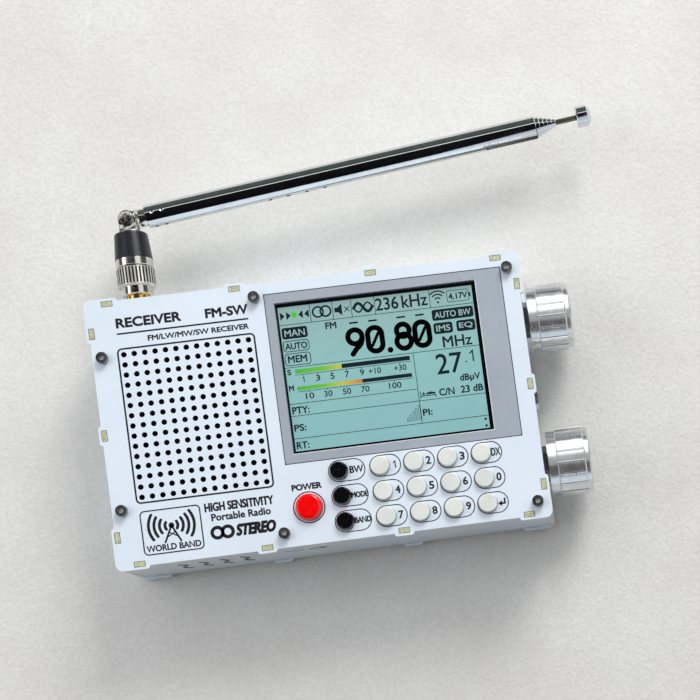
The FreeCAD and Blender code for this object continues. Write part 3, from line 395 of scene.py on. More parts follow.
MATERIALS = {
    "screw_steel": metal("screw_steel", colour(160, 161, 165), 0.26, along="y"),
    "spacer_brass": metal("spacer_brass", colour(205, 170, 96), 0.3, along="y"),
    "green_board": green_board(),
    "switch_black": moulded("switch_black", colour(30, 31, 34), 0.5),
    "battery_wrap": battery_wrap(),
    "key_cream": moulded("key_cream", colour(230, 235, 229), 0.42, grain=0.3, depth=0.004, edge=0.2,
                         Subsurface_Weight=0.15, Subsurface_Scale=0.001),
    "key_black": moulded("key_black", colour(9, 9, 12), 0.16, grain=0.5, depth=0.002, Coat_Weight=1.0,
                         Coat_Roughness=0.05),
    "power_red": red_gloss(),
    "speaker_steel": metal("speaker_steel", colour(70, 71, 74), 0.45, along="y"),
    "cone_paper": paper_cone(),
    "knob_aluminium": metal("knob_aluminium", colour(232, 233, 235), 0.2, along="x", line=0.1, depth=0.002),
    "shaft_metal": metal("shaft_metal", colour(200, 178, 120), 0.3, along="x"),
    "encoder_metal": metal("encoder_metal", colour(170, 172, 174), 0.35, along="x"),
    "nut_dark": metal("nut_dark", colour(112, 112, 118), 0.26, along="x"),
    "socket_black": moulded("socket_black", colour(22, 23, 25), 0.45),
    "usb_shell": metal("usb_shell", colour(205, 206, 208), 0.25, along="x"),
    "gold_plate": metal("gold_plate", colour(232, 190, 96), 0.16, along="z"),
    "nickel": metal("nickel", colour(226, 222, 214), 0.1, along="z", depth=0.0006),
    "sleeve_black": moulded("sleeve_black", colour(22, 24, 34), 0.33, grain=0.4, depth=0.003, edge=0.2),
    "antenna_chrome": metal("antenna_chrome", colour(228, 232, 235), 0.05, along="x", depth=0.0003, edge=0.06,
                            smear=0.04),
}
MASK = solder_mask()
EDGE = board_edge("board_edge", colour(242, 242, 232), colour(214, 212, 190))
TENON = board_edge("tenon_end", colour(214, 219, 180), colour(158, 162, 122))
# Near-black painted shade for the walls of the grille holes.
HOLE_SHADE = painted_hole_shade()
CAST = cast_nickel()
# Near-white painted glint for the floors of the screw sockets.
SOCKET_GLINT = moulded("screw_socket_glint", colour(250, 250, 250), 0.2, grain=0.5, depth=0.02)
# Near-black painted shade for the coupling ring's grooves and the outer tube's lower dimples.
GROOVE_SHADE = moulded("painted_groove_shade", colour(20, 19, 18), 0.5)
# A near-white painted highlight for the right and foot of the bezel's opening.
EDGE_HIGHLIGHT = moulded("painted_edge_highlight", colour(236, 242, 248), 0.4, edge=0.03)
RIDGE = metal("knurl_ridge", colour(240, 238, 232), 0.38, along="z", line=0.1, depth=0.003)
# The rod's dark olive colour is a painted dark reflection over its whole width.
ROD_DARK_REFLECTION = metal("rod_steel_dark_reflection", colour(112, 116, 92), 0.22, along="x", depth=0.0006, edge=0.06)
# This black prints the lettering and also paints the shadow lines round the tenon ends and the bezel.
INK_AND_SHADOW_BLACK = printed_ink("ink_and_painted_shadow_black", colour(12, 13, 16))


def clad(node, *materials):
    """Gives a CAD node its materials."""
    slots = NODES[node].data.materials
    slots.clear()
    for material in materials:
        slots.append(material)


def paint(node, pick):
    """Sets each face's material from pick(centre in millimetres, normal)."""
    for face in NODES[node].data.polygons:
        face.material_index = pick(face.center / MM, face.normal)


def dress_boards():
    """Mask on the broad faces, bare laminate on the cut edges and tenon ends, painted shade inside the grille
    holes.
    """
    for node in ("front_panel", "back_panel"):
        clad(node, MASK, EDGE, HOLE_SHADE)
        paint(node, lambda at, normal: 0 if abs(normal.y) > 0.5 else 2 if in_grille(at) else 1)
    for node, axis in (("top_wall", 2), ("bottom_wall", 2), ("left_wall", 0), ("right_wall", 0)):
        clad(node, MASK, EDGE, TENON)
        paint(node, lambda at, normal: 0 if abs(normal[axis]) > 0.5 else 2 if abs(normal.y) > 0.5 else 1)


def dress_screws():
    """Dark plated heads, with the socket floors painted near-white as a painted glint."""
    for node, side in (("front_screws", -1), ("rear_screws", 1)):
        low, high = box_mm(node)
        head = low.y if side < 0 else high.y
        clad(node, MATERIALS["screw_steel"], SOCKET_GLINT)
        paint(node, lambda at, normal: 1 if 0.3 < abs(at.y - head) < 1.2 and normal.y * side > 0.5 else 0)


TUBE_RADIUS = 3.9


def dress_antenna():
    """Cast nickel at the hinge, a rod whose dark colour is a painted dark reflection, and painted shade in the
    coupling ring's grooves and the outer tube's lower dimples."""
    for node in ("elbow_base", "pivot_screw", "antenna_knuckle"):
        clad(node, CAST)
    low, high = box_mm("coupling_ring")
    axis = (low + high) / 2
    radius = (high.x - low.x) / 2
    clad("antenna_rod", ROD_DARK_REFLECTION)
    clad("coupling_ring", MATERIALS["nickel"], GROOVE_SHADE, RIDGE)

    def groove(at, normal):
        reach = math.hypot(at.x - axis.x, at.y - axis.y)
        if reach < radius - 0.6 or abs(normal.z) > 0.5:
            return 0
        return 1 if reach < radius - 0.03 else 2
    paint("coupling_ring", groove)

    pivot = sum(box_mm("pivot_screw"), Vector()) / 2
    tip = sum(box_mm("tip_cap"), Vector()) / 2
    start = Vector((pivot.x, tip.y, pivot.z))
    along = (tip - start).normalized()
    clad("antenna_tube_1", MATERIALS["antenna_chrome"], GROOVE_SHADE)

    def dimple(at, normal):
        out = at - start
        out -= along * out.dot(along)
        pressed = out.length < TUBE_RADIUS - 0.03 and normal.dot(out) > 0
        # Only the lower dimples take the painted shade.
        return 1 if pressed and out.z < -0.3 * TUBE_RADIUS and abs(normal.dot(along)) < 0.9 else 0
    paint("antenna_tube_1", dimple)


def in_grille(at):
    return GRILLE[0] < at.x < GRILLE[2] and GRILLE[1] < at.z < GRILLE[3]


def dress_nodes():
    """Every other CAD node takes the material of its slot in the record."""
    for part in frame["record"]["subparts"]:
        material = MATERIALS.get(part["material_slot"])
        if material:
            clad(part["node"], material)
    clad("display_bezel", bezel_film())
    clad("lcd_module", screen_border())


# ---------------------------------------------------------------- flat shapes


def arc(x, z, radius, start, end, steps=20):
    """Points on an arc, by angle in degrees."""
    angles = [math.radians(start + (end - start) * step / steps) for step in range(steps + 1)]
    return [(x + radius * math.cos(angle), z + radius * math.sin(angle)) for angle in angles]


def ring(x, z, radius, steps=40):
    return arc(x, z, radius, 0, 360, steps)[:-1]


def rounded(left, low, right, high, radius):
    """A rectangle's outline with round corners, anticlockwise."""
    corners = [(right - radius, low + radius, -90), (right - radius, high - radius, 0),
               (left + radius, high - radius, 90), (left + radius, low + radius, 180)]
    points = []
    for x, z, start in corners:
        points += arc(x, z, radius, start, start + 90, 8)
    return points


def embolden(vertices, width):
    """Moves the outlines through the vertices outward, so that strokes grow by width on each side."""
    moves = []
    for vertex in vertices:
        outward = Vector((0, 0, 0))
        for edge in vertex.link_edges:
            if len(edge.link_faces) == 1:
                along = edge.other_vert(vertex).co - vertex.co
                side = Vector((along.z, 0, -along.x)).normalized()
                inside = edge.link_faces[0].calc_center_median() - vertex.co
                outward += side if side.dot(inside) < 0 else -side
        moves.append(outward * width * 2 / max(1.5, outward.length_squared))
    for vertex, move in zip(vertices, moves):
        vertex.co += move


class Print:
    """Flat shapes on an upright face, drawn in X and Z and made into one thin solid piece."""

    def __init__(self):
        self.mesh = bmesh.new()

    def face(self, outline):
        """A filled outline, anticlockwise as seen from the front."""
        self.mesh.faces.new([self.mesh.verts.new((x * MM, 0, z * MM)) for x, z in outline])

    def box(self, left, low, right, high, radius=0.0):
        if radius:
            self.face(rounded(left, low, right, high, radius))
        else:
            self.face([(left, low), (right, low), (right, high), (left, high)])

    def dot(self, x, z, radius):
        self.face(ring(x, z, radius, 24))

    def line(self, path, width, closed=False):
        """A stroke of even width with mitred bends and, when open, round ends."""
        path = [Vector(point) for point in path]
        count = len(path)
        sides = []
        for index, point in enumerate(path):
            before = path[index - 1] if closed or index else None
            after = path[(index + 1) % count] if closed or index < count - 1 else None
            steps = [(b - a).normalized() for a, b in ((before, point), (point, after)) if a and b]
            along = sum(steps, Vector((0, 0))).normalized()
            across = Vector((-along.y, along.x))
            stretch = min(2.0, 1 / max(0.3, along.dot(steps[0])))
            sides.append((point - across * width / 2 * stretch, point + across * width / 2 * stretch, along))
        pairs = list(zip(sides, sides[1:] + sides[:1])) if closed else list(zip(sides, sides[1:]))
        for (right, left, _), (next_right, next_left, _) in pairs:
            self.face([right, next_right, next_left, left])
        if not closed:
            self.round_end(path[0], -sides[0][2], width / 2)
            self.round_end(path[-1], sides[-1][2], width / 2)

    def round_end(self, point, outward, radius):
        turn = math.degrees(math.atan2(outward.y, outward.x))
        self.face(arc(point.x, point.y, radius, turn - 90, turn + 90, 8))

    def frame(self, left, low, right, high, radius, width):
        self.line(rounded(left, low, right, high, radius), width, closed=True)

    def one(self, right, low, high, width):
        """A figure 1 with a flag."""
        stem = right - width / 2
        top = high - width / 2
        drop = (high - low) * 0.2
        self.line([(stem, low + width / 2), (stem, top), (stem - drop * 1.1, top - drop)], width)

    def text(self, words, left, low, right, high, weight=0.0, slant=0.0):
        """Letters stretched to fill a box, their outlines then moved outward by weight."""
        curve = bpy.data.curves.new("letters", "FONT")
        curve.body = words
        curve.shear = slant
        curve.resolution_u = 4
        holder = bpy.data.objects.new("letters", curve)
        bpy.context.scene.collection.objects.link(holder)
        letters = holder.evaluated_get(bpy.context.evaluated_depsgraph_get()).to_mesh()
        corners = [vertex.co for vertex in letters.vertices]
        first = Vector(map(min, *corners))
        last = Vector(map(max, *corners))
        tall = (high - low) / (last.y - first.y)
        wide = (right - left) / (last.x - first.x)
        placed = []
        for corner in corners:
            x = left + (corner.x - first.x) * wide
            z = low + (corner.y - first.y) * tall
            placed.append(self.mesh.verts.new((x * MM, 0, z * MM)))
        for polygon in letters.polygons:
            self.mesh.faces.new([placed[index] for index in polygon.vertices])
        embolden(placed, weight * MM)
        holder.to_mesh_clear()
        bpy.data.objects.remove(holder)
        bpy.data.curves.remove(curve)

    def finish(self, name, material, slot, front, thickness):
        """Lays the shapes at depth front and gives them their thickness behind it."""
        bmesh.ops.remove_doubles(self.mesh, verts=self.mesh.verts, dist=1e-7)
        bmesh.ops.triangulate(self.mesh, faces=[face for face in self.mesh.faces if len(face.verts) > 4])
        for vertex in self.mesh.verts:
            vertex.co.y = front * MM
        for face in self.mesh.faces:
            face.normal_update()
            if face.normal.y > 0:
                face.normal_flip()
        return solid_piece(name, self.mesh, material, thickness)


def solid_piece(name, mesh, material, thickness):
    """A piece of the case from open faces, thickened away from their fronts."""
    data = bpy.data.meshes.new(name)
    mesh.to_mesh(data)
    mesh.free()
    data.materials.append(material)
    piece = bpy.data.objects.new(name, data)
    bpy.context.scene.collection.objects.link(piece)
    thick = piece.modifiers.new("thickness", "SOLIDIFY")
    thick.thickness = thickness * MM
    thick.offset = -1
    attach(piece, "case")
    return piece


# ---------------------------------------------------------------- printing and painted gap shadows on the front panel

GRILLE = (-63.1, 21.85, -18.1, 73.6)
CORNER = 1.4
LINE = 0.56
KEY_COLUMNS = [17.6, 28.9, 40.2, 51.5]
KEY_ROWS = [24.2, 15.7, 7.2]
KEY_LABELS = [["1", "2", "3", "DX"], ["4", "5", "6", "0"], ["7", "8", "9", "enter"]]
MODE_X = 3.9
MODE_LABELS = ["BW", "MODE", "BAND"]
POWER = (-7.4, 13.45)


def print_titles(ink):
    ink.text("RECEIVER", -62.4, 80.75, -41.3, 83.75, 0.19)
    ink.text("FM-SW", -33, 80.6, -19.2, 83.5, 0.19)
    ink.line([(-62.4, 78.7), (-19.5, 78.7)], 0.55)
    ink.text("FM/LW/MW/SW RECEIVER", -52.7, 75.4, -19.5, 77.1, 0.1)
    ink.frame(*GRILLE, CORNER, LINE)


def print_keys(ink):
    """Each key stands in the left end of a capsule, with its label in the right end."""
    for row, z in enumerate(KEY_ROWS):
        ink.frame(MODE_X - 3.5, z - 3.55, MODE_X + 8.55, z + 3.55, 3.5, 0.32)
        label = MODE_LABELS[row]
        half = 2.2 if label == "BW" else 2.65
        tall = 1.1 if label == "BW" else 0.9
        ink.text(label, MODE_X + 5.75 - half, z - tall, MODE_X + 5.75 + half, z + tall, 0.11)
        for column, x in enumerate(KEY_COLUMNS):
            ink.frame(x - 3.5, z - 3.5, x + 6.75, z + 3.5, 3.45, 0.32)
            label = KEY_LABELS[row][column]
            if label == "enter":
                print_enter(ink, x + 4.7, z)
            elif label == "1":
                ink.one(x + 5.2, z - 1.25, z + 1.25, 0.4)
            else:
                half = 1.45 if label == "DX" else 0.75
                ink.text(label, x + 4.75 - half, z - 1.25, x + 4.75 + half, z + 1.25, 0.11)


def print_enter(ink, x, z):
    ink.line([(x + 0.9, z + 0.95), (x + 0.9, z - 0.55), (x - 0.2, z - 0.55)], 0.6)
    ink.face([(x - 1.4, z - 0.55), (x - 0.1, z - 1.5), (x - 0.1, z + 0.4)])


def print_power(ink):
    x, z = POWER
    ink.text("POWER", x - 4.85, 19.5, x + 4.85, 21.4, 0.14)
    ink.line(ring(x, z, 5.15, 64), 0.38, closed=True)


def print_emblem(ink):
    """A mast with waves leaving it on both sides, over a plain caption, in a round-cornered frame."""
    left, low, right, high = -62.65, 4.4, -43.15, 18.9
    ink.frame(left, low, right, high, CORNER, 0.42)
    middle = (left + right) / 2
    top = 13.3
    for side in (-1, 1):
        ink.line([(middle + side * 2.6, 7.9), (middle, top)], 0.62)
        ink.line([(middle - side * 1.8, 9.5), (middle + side * 1.1, 11.1)], 0.4)
        facing = 0 if side > 0 else 180
        for reach in (2.1, 3.9, 5.7, 7.5):
            ink.line(arc(middle, top, reach, facing - 34, facing + 34, 16), 0.95)
    ink.dot(middle, top, 0.95)
    ink.text("WORLD BAND", left + 0.9, low + 0.9, right - 0.9, low + 2.9, 0.1)


def print_captions(ink):
    """The lines beside the emblem, the last with two linked rings."""
    ink.text("HIGH SENSITIVITY", -41.4, 16.2, -18.9, 18.9, 0.16)
    ink.text("Portable Radio", -39.6, 12.9, -20.2, 15.2, 0.11)
    for x in (-38.3, -34.9):
        ink.line(ring(x, 8.9, 1.75, 36), 1.15, closed=True)
    ink.text("STEREO", -32.0, 7.2, -19.2, 10.7, 0.3, slant=0.25)


def paint_gap_shadows(ink):
    """A painted shadow line, in black ink, round each tenon end, where the front panel's mortise is a little
    wider.
    """
    for wall, along in (("top_wall", 0), ("bottom_wall", 0), ("left_wall", 2), ("right_wall", 2)):
        mesh = NODES[wall].data
        ends = []
        for face in mesh.polygons:
            if face.normal.y < -0.5 and face.center.y < (FACE_Y + 0.5) * MM:
                ends += [mesh.vertices[index].co / MM for index in face.vertices]
        ends.sort(key=lambda corner: corner[along])
        group = []
        for corner in ends + [None]:
            if group and (corner is None or corner[along] - group[-1][along] > 6):
                xs = [each.x for each in group]
                zs = [each.z for each in group]
                ink.frame(min(xs) - 0.08, min(zs) - 0.08, max(xs) + 0.08, max(zs) + 0.08, 0.05, 0.15)
                group = []
            group.append(corner)


def print_front():
    ink = Print()
    # Painted shadow lines round the tenon ends go into the same black piece as the printing.
    paint_gap_shadows(ink)
    print_titles(ink)
    print_keys(ink)
    print_power(ink)
    print_emblem(ink)
    print_captions(ink)
    ink.finish("front_print_and_gap_shadows", INK_AND_SHADOW_BLACK, "panel_white", FACE_Y - INK, INK + 0.005)


def print_bottom():
    """Charge marks by the four lights and an arrow, on the bottom wall's underside."""
    ink = Print()
    for step in range(4):
        middle = -53 + 6.9 * step
        ink.line([(middle - 0.8, -6.5), (middle + 0.8, -3.5), (middle + 0.8, -2.6)], 1.5)
        ink.line([(middle - 0.7, 0.6), (middle - 0.7, 2.2), (middle + 0.9, 4.6)], 1.5)
    ink.line([(-10.3, -5), (-5.4, -5)], 1.1)
    ink.face([(-3.8, -5), (-6.8, -3.1), (-6.8, -6.9)])
    ink.text("LINE IN", -18.5, -5.6, -12.5, -4.4, 0.05)
    piece = ink.finish("bottom_print", INK_AND_SHADOW_BLACK, "wall_board", 0, INK + 0.005)
    for vertex in piece.data.vertices:
        x, _, depth = vertex.co
        vertex.co = (x, depth, (WALL_FACE_Z - INK) * MM)
    piece.data.flip_normals()


# ---------------------------------------------------------------- the screen's picture

SCREEN = (-9.6, 32.77, 55.47, 81.5)
OPENING = (-10.3, 31.75, 56.83, 82.7)
METER_LEFT = -6.5
METER_ORANGE = 15.3
BIG_TOP = 71.1
BIG_FOOT = 63.1
STROKE = 1.75


def screen_rules(ink):
    """The thin lines that divide the screen."""
    left, _, right, high = SCREEN
    thin = 0.2
    for z in (75.45, 61.0, 44.6, 37.0):
        ink.line([(left, z), (right, z)], thin)
    ink.line([(left, 48.7), (33.2, 48.7)], thin)
    ink.line([(33.2, 61.0), (33.2, 37.0)], thin)
    for x in (1.0, 8.48, 14.74, 22.58, 41.05):
        ink.line([(x, 75.45), (x, high)], thin)


def screen_icons(ink):
    """The top strip: tuning arrows, stereo rings, muted speaker, waves, wireless and battery."""
    for x, way in ((-9.05, 1), (-7.0, 1), (-1.5, -1), (0.5, -1)):
        triangle = [(x, 77.1), (x + way * 1.5, 78.5), (x, 79.9)]
        ink.face(triangle if way > 0 else triangle[::-1])
    for x in (3.55, 6.1):
        ink.line(ring(x, 78.6, 1.72, 32), 0.6, closed=True)
    ink.face([(9.1, 77.7), (10.2, 77.7), (11.6, 76.5), (11.6, 80.5), (10.2, 79.3), (9.1, 79.3)])
    for side in (-1, 1):
        ink.line([(12.4, 78.5 - side * 0.8), (14.0, 78.5 + side * 0.8)], 0.3)
    wave = [(15.5 + 6.3 * step / 32, 78.4 + 1.5 * math.sin(step / 32 * 2 * math.pi)) for step in range(33)]
    ink.line(wave, 1.0)
    ink.line([(x, 78.4 - (z - 78.4)) for x, z in wave], 0.55)
    for reach in (1.2, 2.4, 3.5):
        ink.line(arc(43.7, 77.3, reach, 48, 132, 12), 0.45)
    ink.dot(43.7, 77.0, 0.38)
    ink.frame(46.9, 76.65, 54.2, 80.4, 0.5, 0.2)
    ink.box(54.3, 77.8, 54.8, 79.2)


def screen_words(ink):
    words = [
        ("236", 22.9, 76.6, 30.4, 80.7), ("kHz", 31.7, 76.6, 40.2, 80.7), ("4.17V", 47.5, 77.5, 53.7, 79.5),
        ("FM", 5.5, 72.5, 9.0, 74.6), ("AUTO", -8.6, 67.1, -1.4, 69.2), ("MEM", -8.2, 62.6, -2.0, 64.9),
        ("MHz", 43.6, 61.6, 53.2, 65.2), ("27", 40.4, 52.7, 49.1, 59.5), ("dBµV", 47.7, 49.2, 54.4, 51.8),
        ("C/N", 40.2, 45.5, 45.2, 47.8), ("23 dB", 47.5, 45.6, 54.9, 47.9),
        ("PTY:", -9.0, 45.3, -3.4, 47.6), ("PS:", -9.1, 39.5, -5.2, 41.7), ("RT:", -9.05, 33.55, -5.0, 35.8),
        ("PI:", 33.9, 39.5, 37.0, 41.6), ("S", -9.0, 58.6, -7.9, 60.3), ("M", -9.1, 53.2, -7.6, 54.9),
    ]
    for label, left, low, right, high in words:
        ink.text(label, left, low, right, high, 0.09)
    ink.one(53.2, 55.7, 59.7, 0.5)
    ink.dot(50.5, 55.9, 0.28)
    for z in (35.85, 33.6):
        ink.dot(54.35, z, 0.42)


def screen_tags(ink, letters):
    """Outlined tags, and filled ones whose letters are the screen's own colour."""
    for low, high in ((66.4, 69.9), (61.7, 65.6)):
        ink.frame(-9.2, low, -0.75, high, 1.0, 0.26)
    filled = [
        ("MAN", -9.2, 70.65, -0.7, 74.5), ("AUTO BW", 41.1, 70.85, 55.0, 74.6),
        ("IMS", 41.1, 66.3, 47.5, 70.05), ("EQ", 48.8, 66.35, 55.1, 70.1),
    ]
    for words, left, low, right, high in filled:
        ink.box(left, low, right, high, 0.8)
        letters.text(words, left + 0.9, low + 0.85, right - 0.9, high - 0.85, 0.03)


def screen_meters(ink, lit):
    """Two bar meters, each with a scale line, its ticks and its numbers."""
    scales = [
        (58.75, 60.2, 9.05, {"1": -4.0, "3": 0.8, "5": 5.6, "7": 10.5, "9": 15.5, "+10": 19.8, "+30": 28.3}),
        (53.05, 54.3, METER_ORANGE, {"10": -2.6, "30": 3.5, "50": 9.75, "70": 15.85, "100": 25.9}),
    ]
    for low, high, reach, marks in scales:
        lit.box(METER_LEFT, low, reach, high)
        ink.box(reach, low, 31.9, high)
        ink.line([(METER_LEFT, low - 0.45), (32.2, low - 0.45)], 0.18)
        for words, x in marks.items():
            ink.line([(x, low - 0.45), (x, low - 0.95)], 0.2)
            if words == "1":
                ink.one(x + 0.3, low - 3.15, low - 1.2, 0.28)
            else:
                half = 0.68 * len(words)
                ink.text(words, x - half, low - 3.15, x + half, low - 1.2, 0.04)


def screen_bed(ink):
    ink.line([(33.9, 45.5), (33.9, 47.5)], 0.25)
    ink.line([(33.9, 46.1), (38.9, 46.1), (38.9, 45.5)], 0.3)
    ink.dot(34.9, 46.85, 0.42)
    ink.face([(35.7, 46.5), (38.9, 46.5), (38.9, 46.95), (37.3, 47.35), (35.7, 46.95)])


def screen_bars(ink):
    for step in range(5):
        x = 28.4 + step * 1.02
        ink.frame(x, 38.2, x + 0.55, 39.4 + step * 0.95, 0.2, 0.13)


def slashed_zero(ink, x):
    """A tall zero with straight sides, as wide as its strokes allow, and its slash."""
    width = 4.7
    ink.line(rounded(x - width / 2, BIG_FOOT, x + width / 2, BIG_TOP, 2.3), STROKE, closed=True)
    ink.line([(x - 1.1, BIG_FOOT + 2.0), (x + 1.2, BIG_TOP - 2.0)], 1.05)


def big_digits(ink):
    """The frequency, 90.80, in strokes with round ends, and a dash over each digit."""
    nine = ring(14.7, 68.75, 2.35, 40)
    ink.line(nine, STROKE, closed=True)
    tail = arc(13.0, 68.4, 4.05, 5, -62, 14)
    ink.line(tail + [(13.4, BIG_FOOT - 0.1)], STROKE)
    slashed_zero(ink, 21.3)
    ink.dot(25.9, 62.95, 0.98)
    ink.line(ring(30.8, 69.0, 2.1, 40), STROKE, closed=True)
    ink.line(ring(30.8, 65.3, 2.4, 40), STROKE, closed=True)
    slashed_zero(ink, 37.1)
    for x in (14.85, 21.2, 30.7, 37.0):
        ink.box(x - 1.45, 73.25, x + 1.45, 73.8, 0.1)


def draw_screen():
    """The picture area with its inks, each a little nearer the viewer than the one before."""
    surface = Print()
    surface.box(*SCREEN)
    dark = Print()
    letters = Print()
    lit = Print()
    black = Print()
    screen_rules(dark)
    screen_icons(dark)
    screen_words(dark)
    screen_tags(dark, letters)
    screen_meters(dark, lit)
    screen_bed(dark)
    screen_bars(dark)
    big_digits(black)
    spot = Print()
    spot.dot(-4.38, 78.6, 0.95)
    depth = MODULE_LOW.y - 0.02
    layers = [
        (surface, "screen_picture", screen_glass()),
        (dark, "screen_shapes", screen_ink("screen_dark", colour(28, 38, 46), 0.8)),
        (lit, "screen_meters", meter_colours()),
        (letters, "screen_letters", screen_ink("screen_pale", colour(160, 192, 190), 0.75)),
        (black, "screen_digits", screen_ink("screen_black", colour(5, 6, 10), 0.5)),
        (spot, "screen_spot", screen_ink("screen_green", colour(70, 190, 40), 0.9)),
    ]
    for index, (ink, name, material) in enumerate(layers):
        ink.finish(name, material, "display_panel", depth - 0.008 * index, 0.012)


def bezel_lines():
    """A painted shadow in the gap round the bezel, and a painted highlight along the right and foot of its
    opening.
    """
    dark = Print()
    # Painted shadow in the gap round the bezel.
    dark.frame(BEZEL_LOW.x - 0.1, BEZEL_LOW.z - 0.1, BEZEL_HIGH.x + 0.1, BEZEL_HIGH.z + 0.1, 0.6, 0.2)
    dark.finish("bezel_gap_shadow", INK_AND_SHADOW_BLACK, "bezel_grey", FACE_Y - INK, INK + 0.005)
    bright = Print()
    # Painted highlight along the right and foot of the opening.
    left, low, right, high = OPENING
    bright.line([(left, low - 0.12), (right + 0.12, low - 0.12), (right + 0.12, high)], 0.22)
    bright.finish("bezel_edge_highlight", EDGE_HIGHLIGHT, "bezel_grey", FACE_Y - INK, INK + 0.005)


# ---------------------------------------------------------------- cloth behind the grille


def grille_cloth():
    """Cloth stretched on the back of the grille, sagging very slightly between its edges."""
    left, low, right, high = GRILLE
    near = PANEL_HIGH.y + 0.05
    count = 24
    mesh = bmesh.new()
    rows = []
    for row in range(count + 1):
        line = []
        for column in range(count + 1):
            u, v = column / count, row / count
            sag = 0.02 * math.sin(math.pi * u) * math.sin(math.pi * v)
            x = left + 0.4 + (right - left - 0.8) * u
            z = low + 0.4 + (high - low - 0.8) * v
            line.append(mesh.verts.new((x * MM, (near - sag) * MM, z * MM)))
        rows.append(line)
    for lower, upper in zip(rows, rows[1:]):
        for column in range(count):
            mesh.faces.new([lower[column], lower[column + 1], upper[column + 1], upper[column]])
    solid_piece("grille_cloth", mesh, cloth(), 0.02)


# ---------------------------------------------------------------- studio


def plane(name, corners, material):
    """A staged flat sheet through four corners in metres."""
    data = bpy.data.meshes.new(name)
    data.from_pydata(corners, [], [(0, 1, 2, 3)])
    data.materials.append(material)
    sheet = bpy.data.objects.new(name, data)
    bpy.context.scene.collection.objects.link(sheet)
    return sheet


def table_paper():
    """Pale grained covering with soft creases."""
    s = Shader("table_paper")
    crease = s.noise(30, 4)
    grain = s.noise(1.1, 5)
    tone = s.mix(s.span(crease, 0.3, 0.7), colour(222, 221, 217), colour(230, 230, 227))
    tone = s.mix(s.span(grain, 0.35, 0.7, 0, 0.45), tone, colour(206, 205, 200))
    height = s.math("ADD", s.math("MULTIPLY", crease, 2.5), grain)
    return s.set(Base_Color=tone, Roughness=0.8, Normal=s.bump(height, 0.2), Specular_IOR_Level=0.2)


def dark_card():
    s = Shader("dark_card")
    return s.set(Base_Color=(0.01, 0.01, 0.012, 1), Roughness=1.0, Specular_IOR_Level=0.0)


CAMERA_PLACE = (0.0748364, -0.5816397, -0.0763757)
CAMERA_TURN = (91.745133, 7.821208, -3.457317)
CAMERA_LENS = 86.955
CAMERA_SHIFT = (-0.488782, 0.465294)
NEAR_ENOUGH = 0.02


def drive(owner, path, at_camera_place, elsewhere, camera, mark):
    """Gives a property one value while the camera is at its own place and another when it is moved."""
    curve = owner.driver_add(path)
    curve.driver.type = "AVERAGE"
    distance = curve.driver.variables.new()
    distance.type = "LOC_DIFF"
    distance.targets[0].id = camera
    distance.targets[1].id = mark
    for modifier in list(curve.modifiers):
        curve.modifiers.remove(modifier)
    curve.keyframe_points.add(2)
    for point, (at, value) in zip(curve.keyframe_points, ((0, at_camera_place), (NEAR_ENOUGH, elsewhere))):
        point.co = (at, value)
        point.interpolation = "CONSTANT"
    curve.extrapolation = "CONSTANT"
    curve.update()


def make_camera():
    """The camera looks square on to the front from below. Its shifts apply only at its own place."""
    lens = bpy.data.cameras.new("camera")
    lens.lens = CAMERA_LENS
    lens.shift_x, lens.shift_y = CAMERA_SHIFT
    lens.clip_start = 0.01
    camera = bpy.data.objects.new("camera", lens)
    camera.location = CAMERA_PLACE
    camera.rotation_euler = [math.radians(angle) for angle in CAMERA_TURN]
    mark = bpy.data.objects.new("camera_mark", None)
    mark.location = CAMERA_PLACE
    for item in (camera, mark):
        bpy.context.scene.collection.objects.link(item)
    bpy.context.scene.camera = camera
    drive(lens, "shift_x", CAMERA_SHIFT[0], 0, camera, mark)
    drive(lens, "shift_y", CAMERA_SHIFT[1], 0, camera, mark)
    return camera, mark


def make_surfaces(camera, mark):
    """From its own place the camera sees the receiver lying on a table behind it. From anywhere else the
    receiver stands on a floor."""
    material = table_paper()
    reach = 3.0
    back = CAD_BOX[1].y + 0.0001
    table = plane("table", [(-reach, back, -reach), (reach, back, -reach), (reach, back, reach),
                            (-reach, back, reach)], material)
    floor = plane("floor", [(-reach, -reach, 0), (reach, -reach, 0), (reach, reach, 0), (-reach, reach, 0)],
                  material)
    drive(table, "hide_render", 0, 1, camera, mark)
    drive(floor, "hide_render", 1, 0, camera, mark)
    return floor


def make_card():
    """A dark card that only mirrors can see: it puts the black bands into the polished metal."""
    card = plane("card", [(-1.1, -0.72, -1.3), (0.2, -0.72, -1.3), (0.2, -0.72, 0.4), (-1.1, -0.72, 0.4)],
                 dark_card())
    card.visible_camera = False
    card.visible_diffuse = False
    card.visible_shadow = False
    card.visible_transmission = False


def area_light(name, place, aim, size, power, tint=(1, 1, 1)):
    data = bpy.data.lights.new(name, "AREA")
    data.energy = power
    data.size = size
    data.color = tint
    light = bpy.data.objects.new(name, data)
    light.location = place
    light.rotation_euler = (Vector(aim) - Vector(place)).to_track_quat("-Z", "Y").to_euler()
    bpy.context.scene.collection.objects.link(light)
    return light


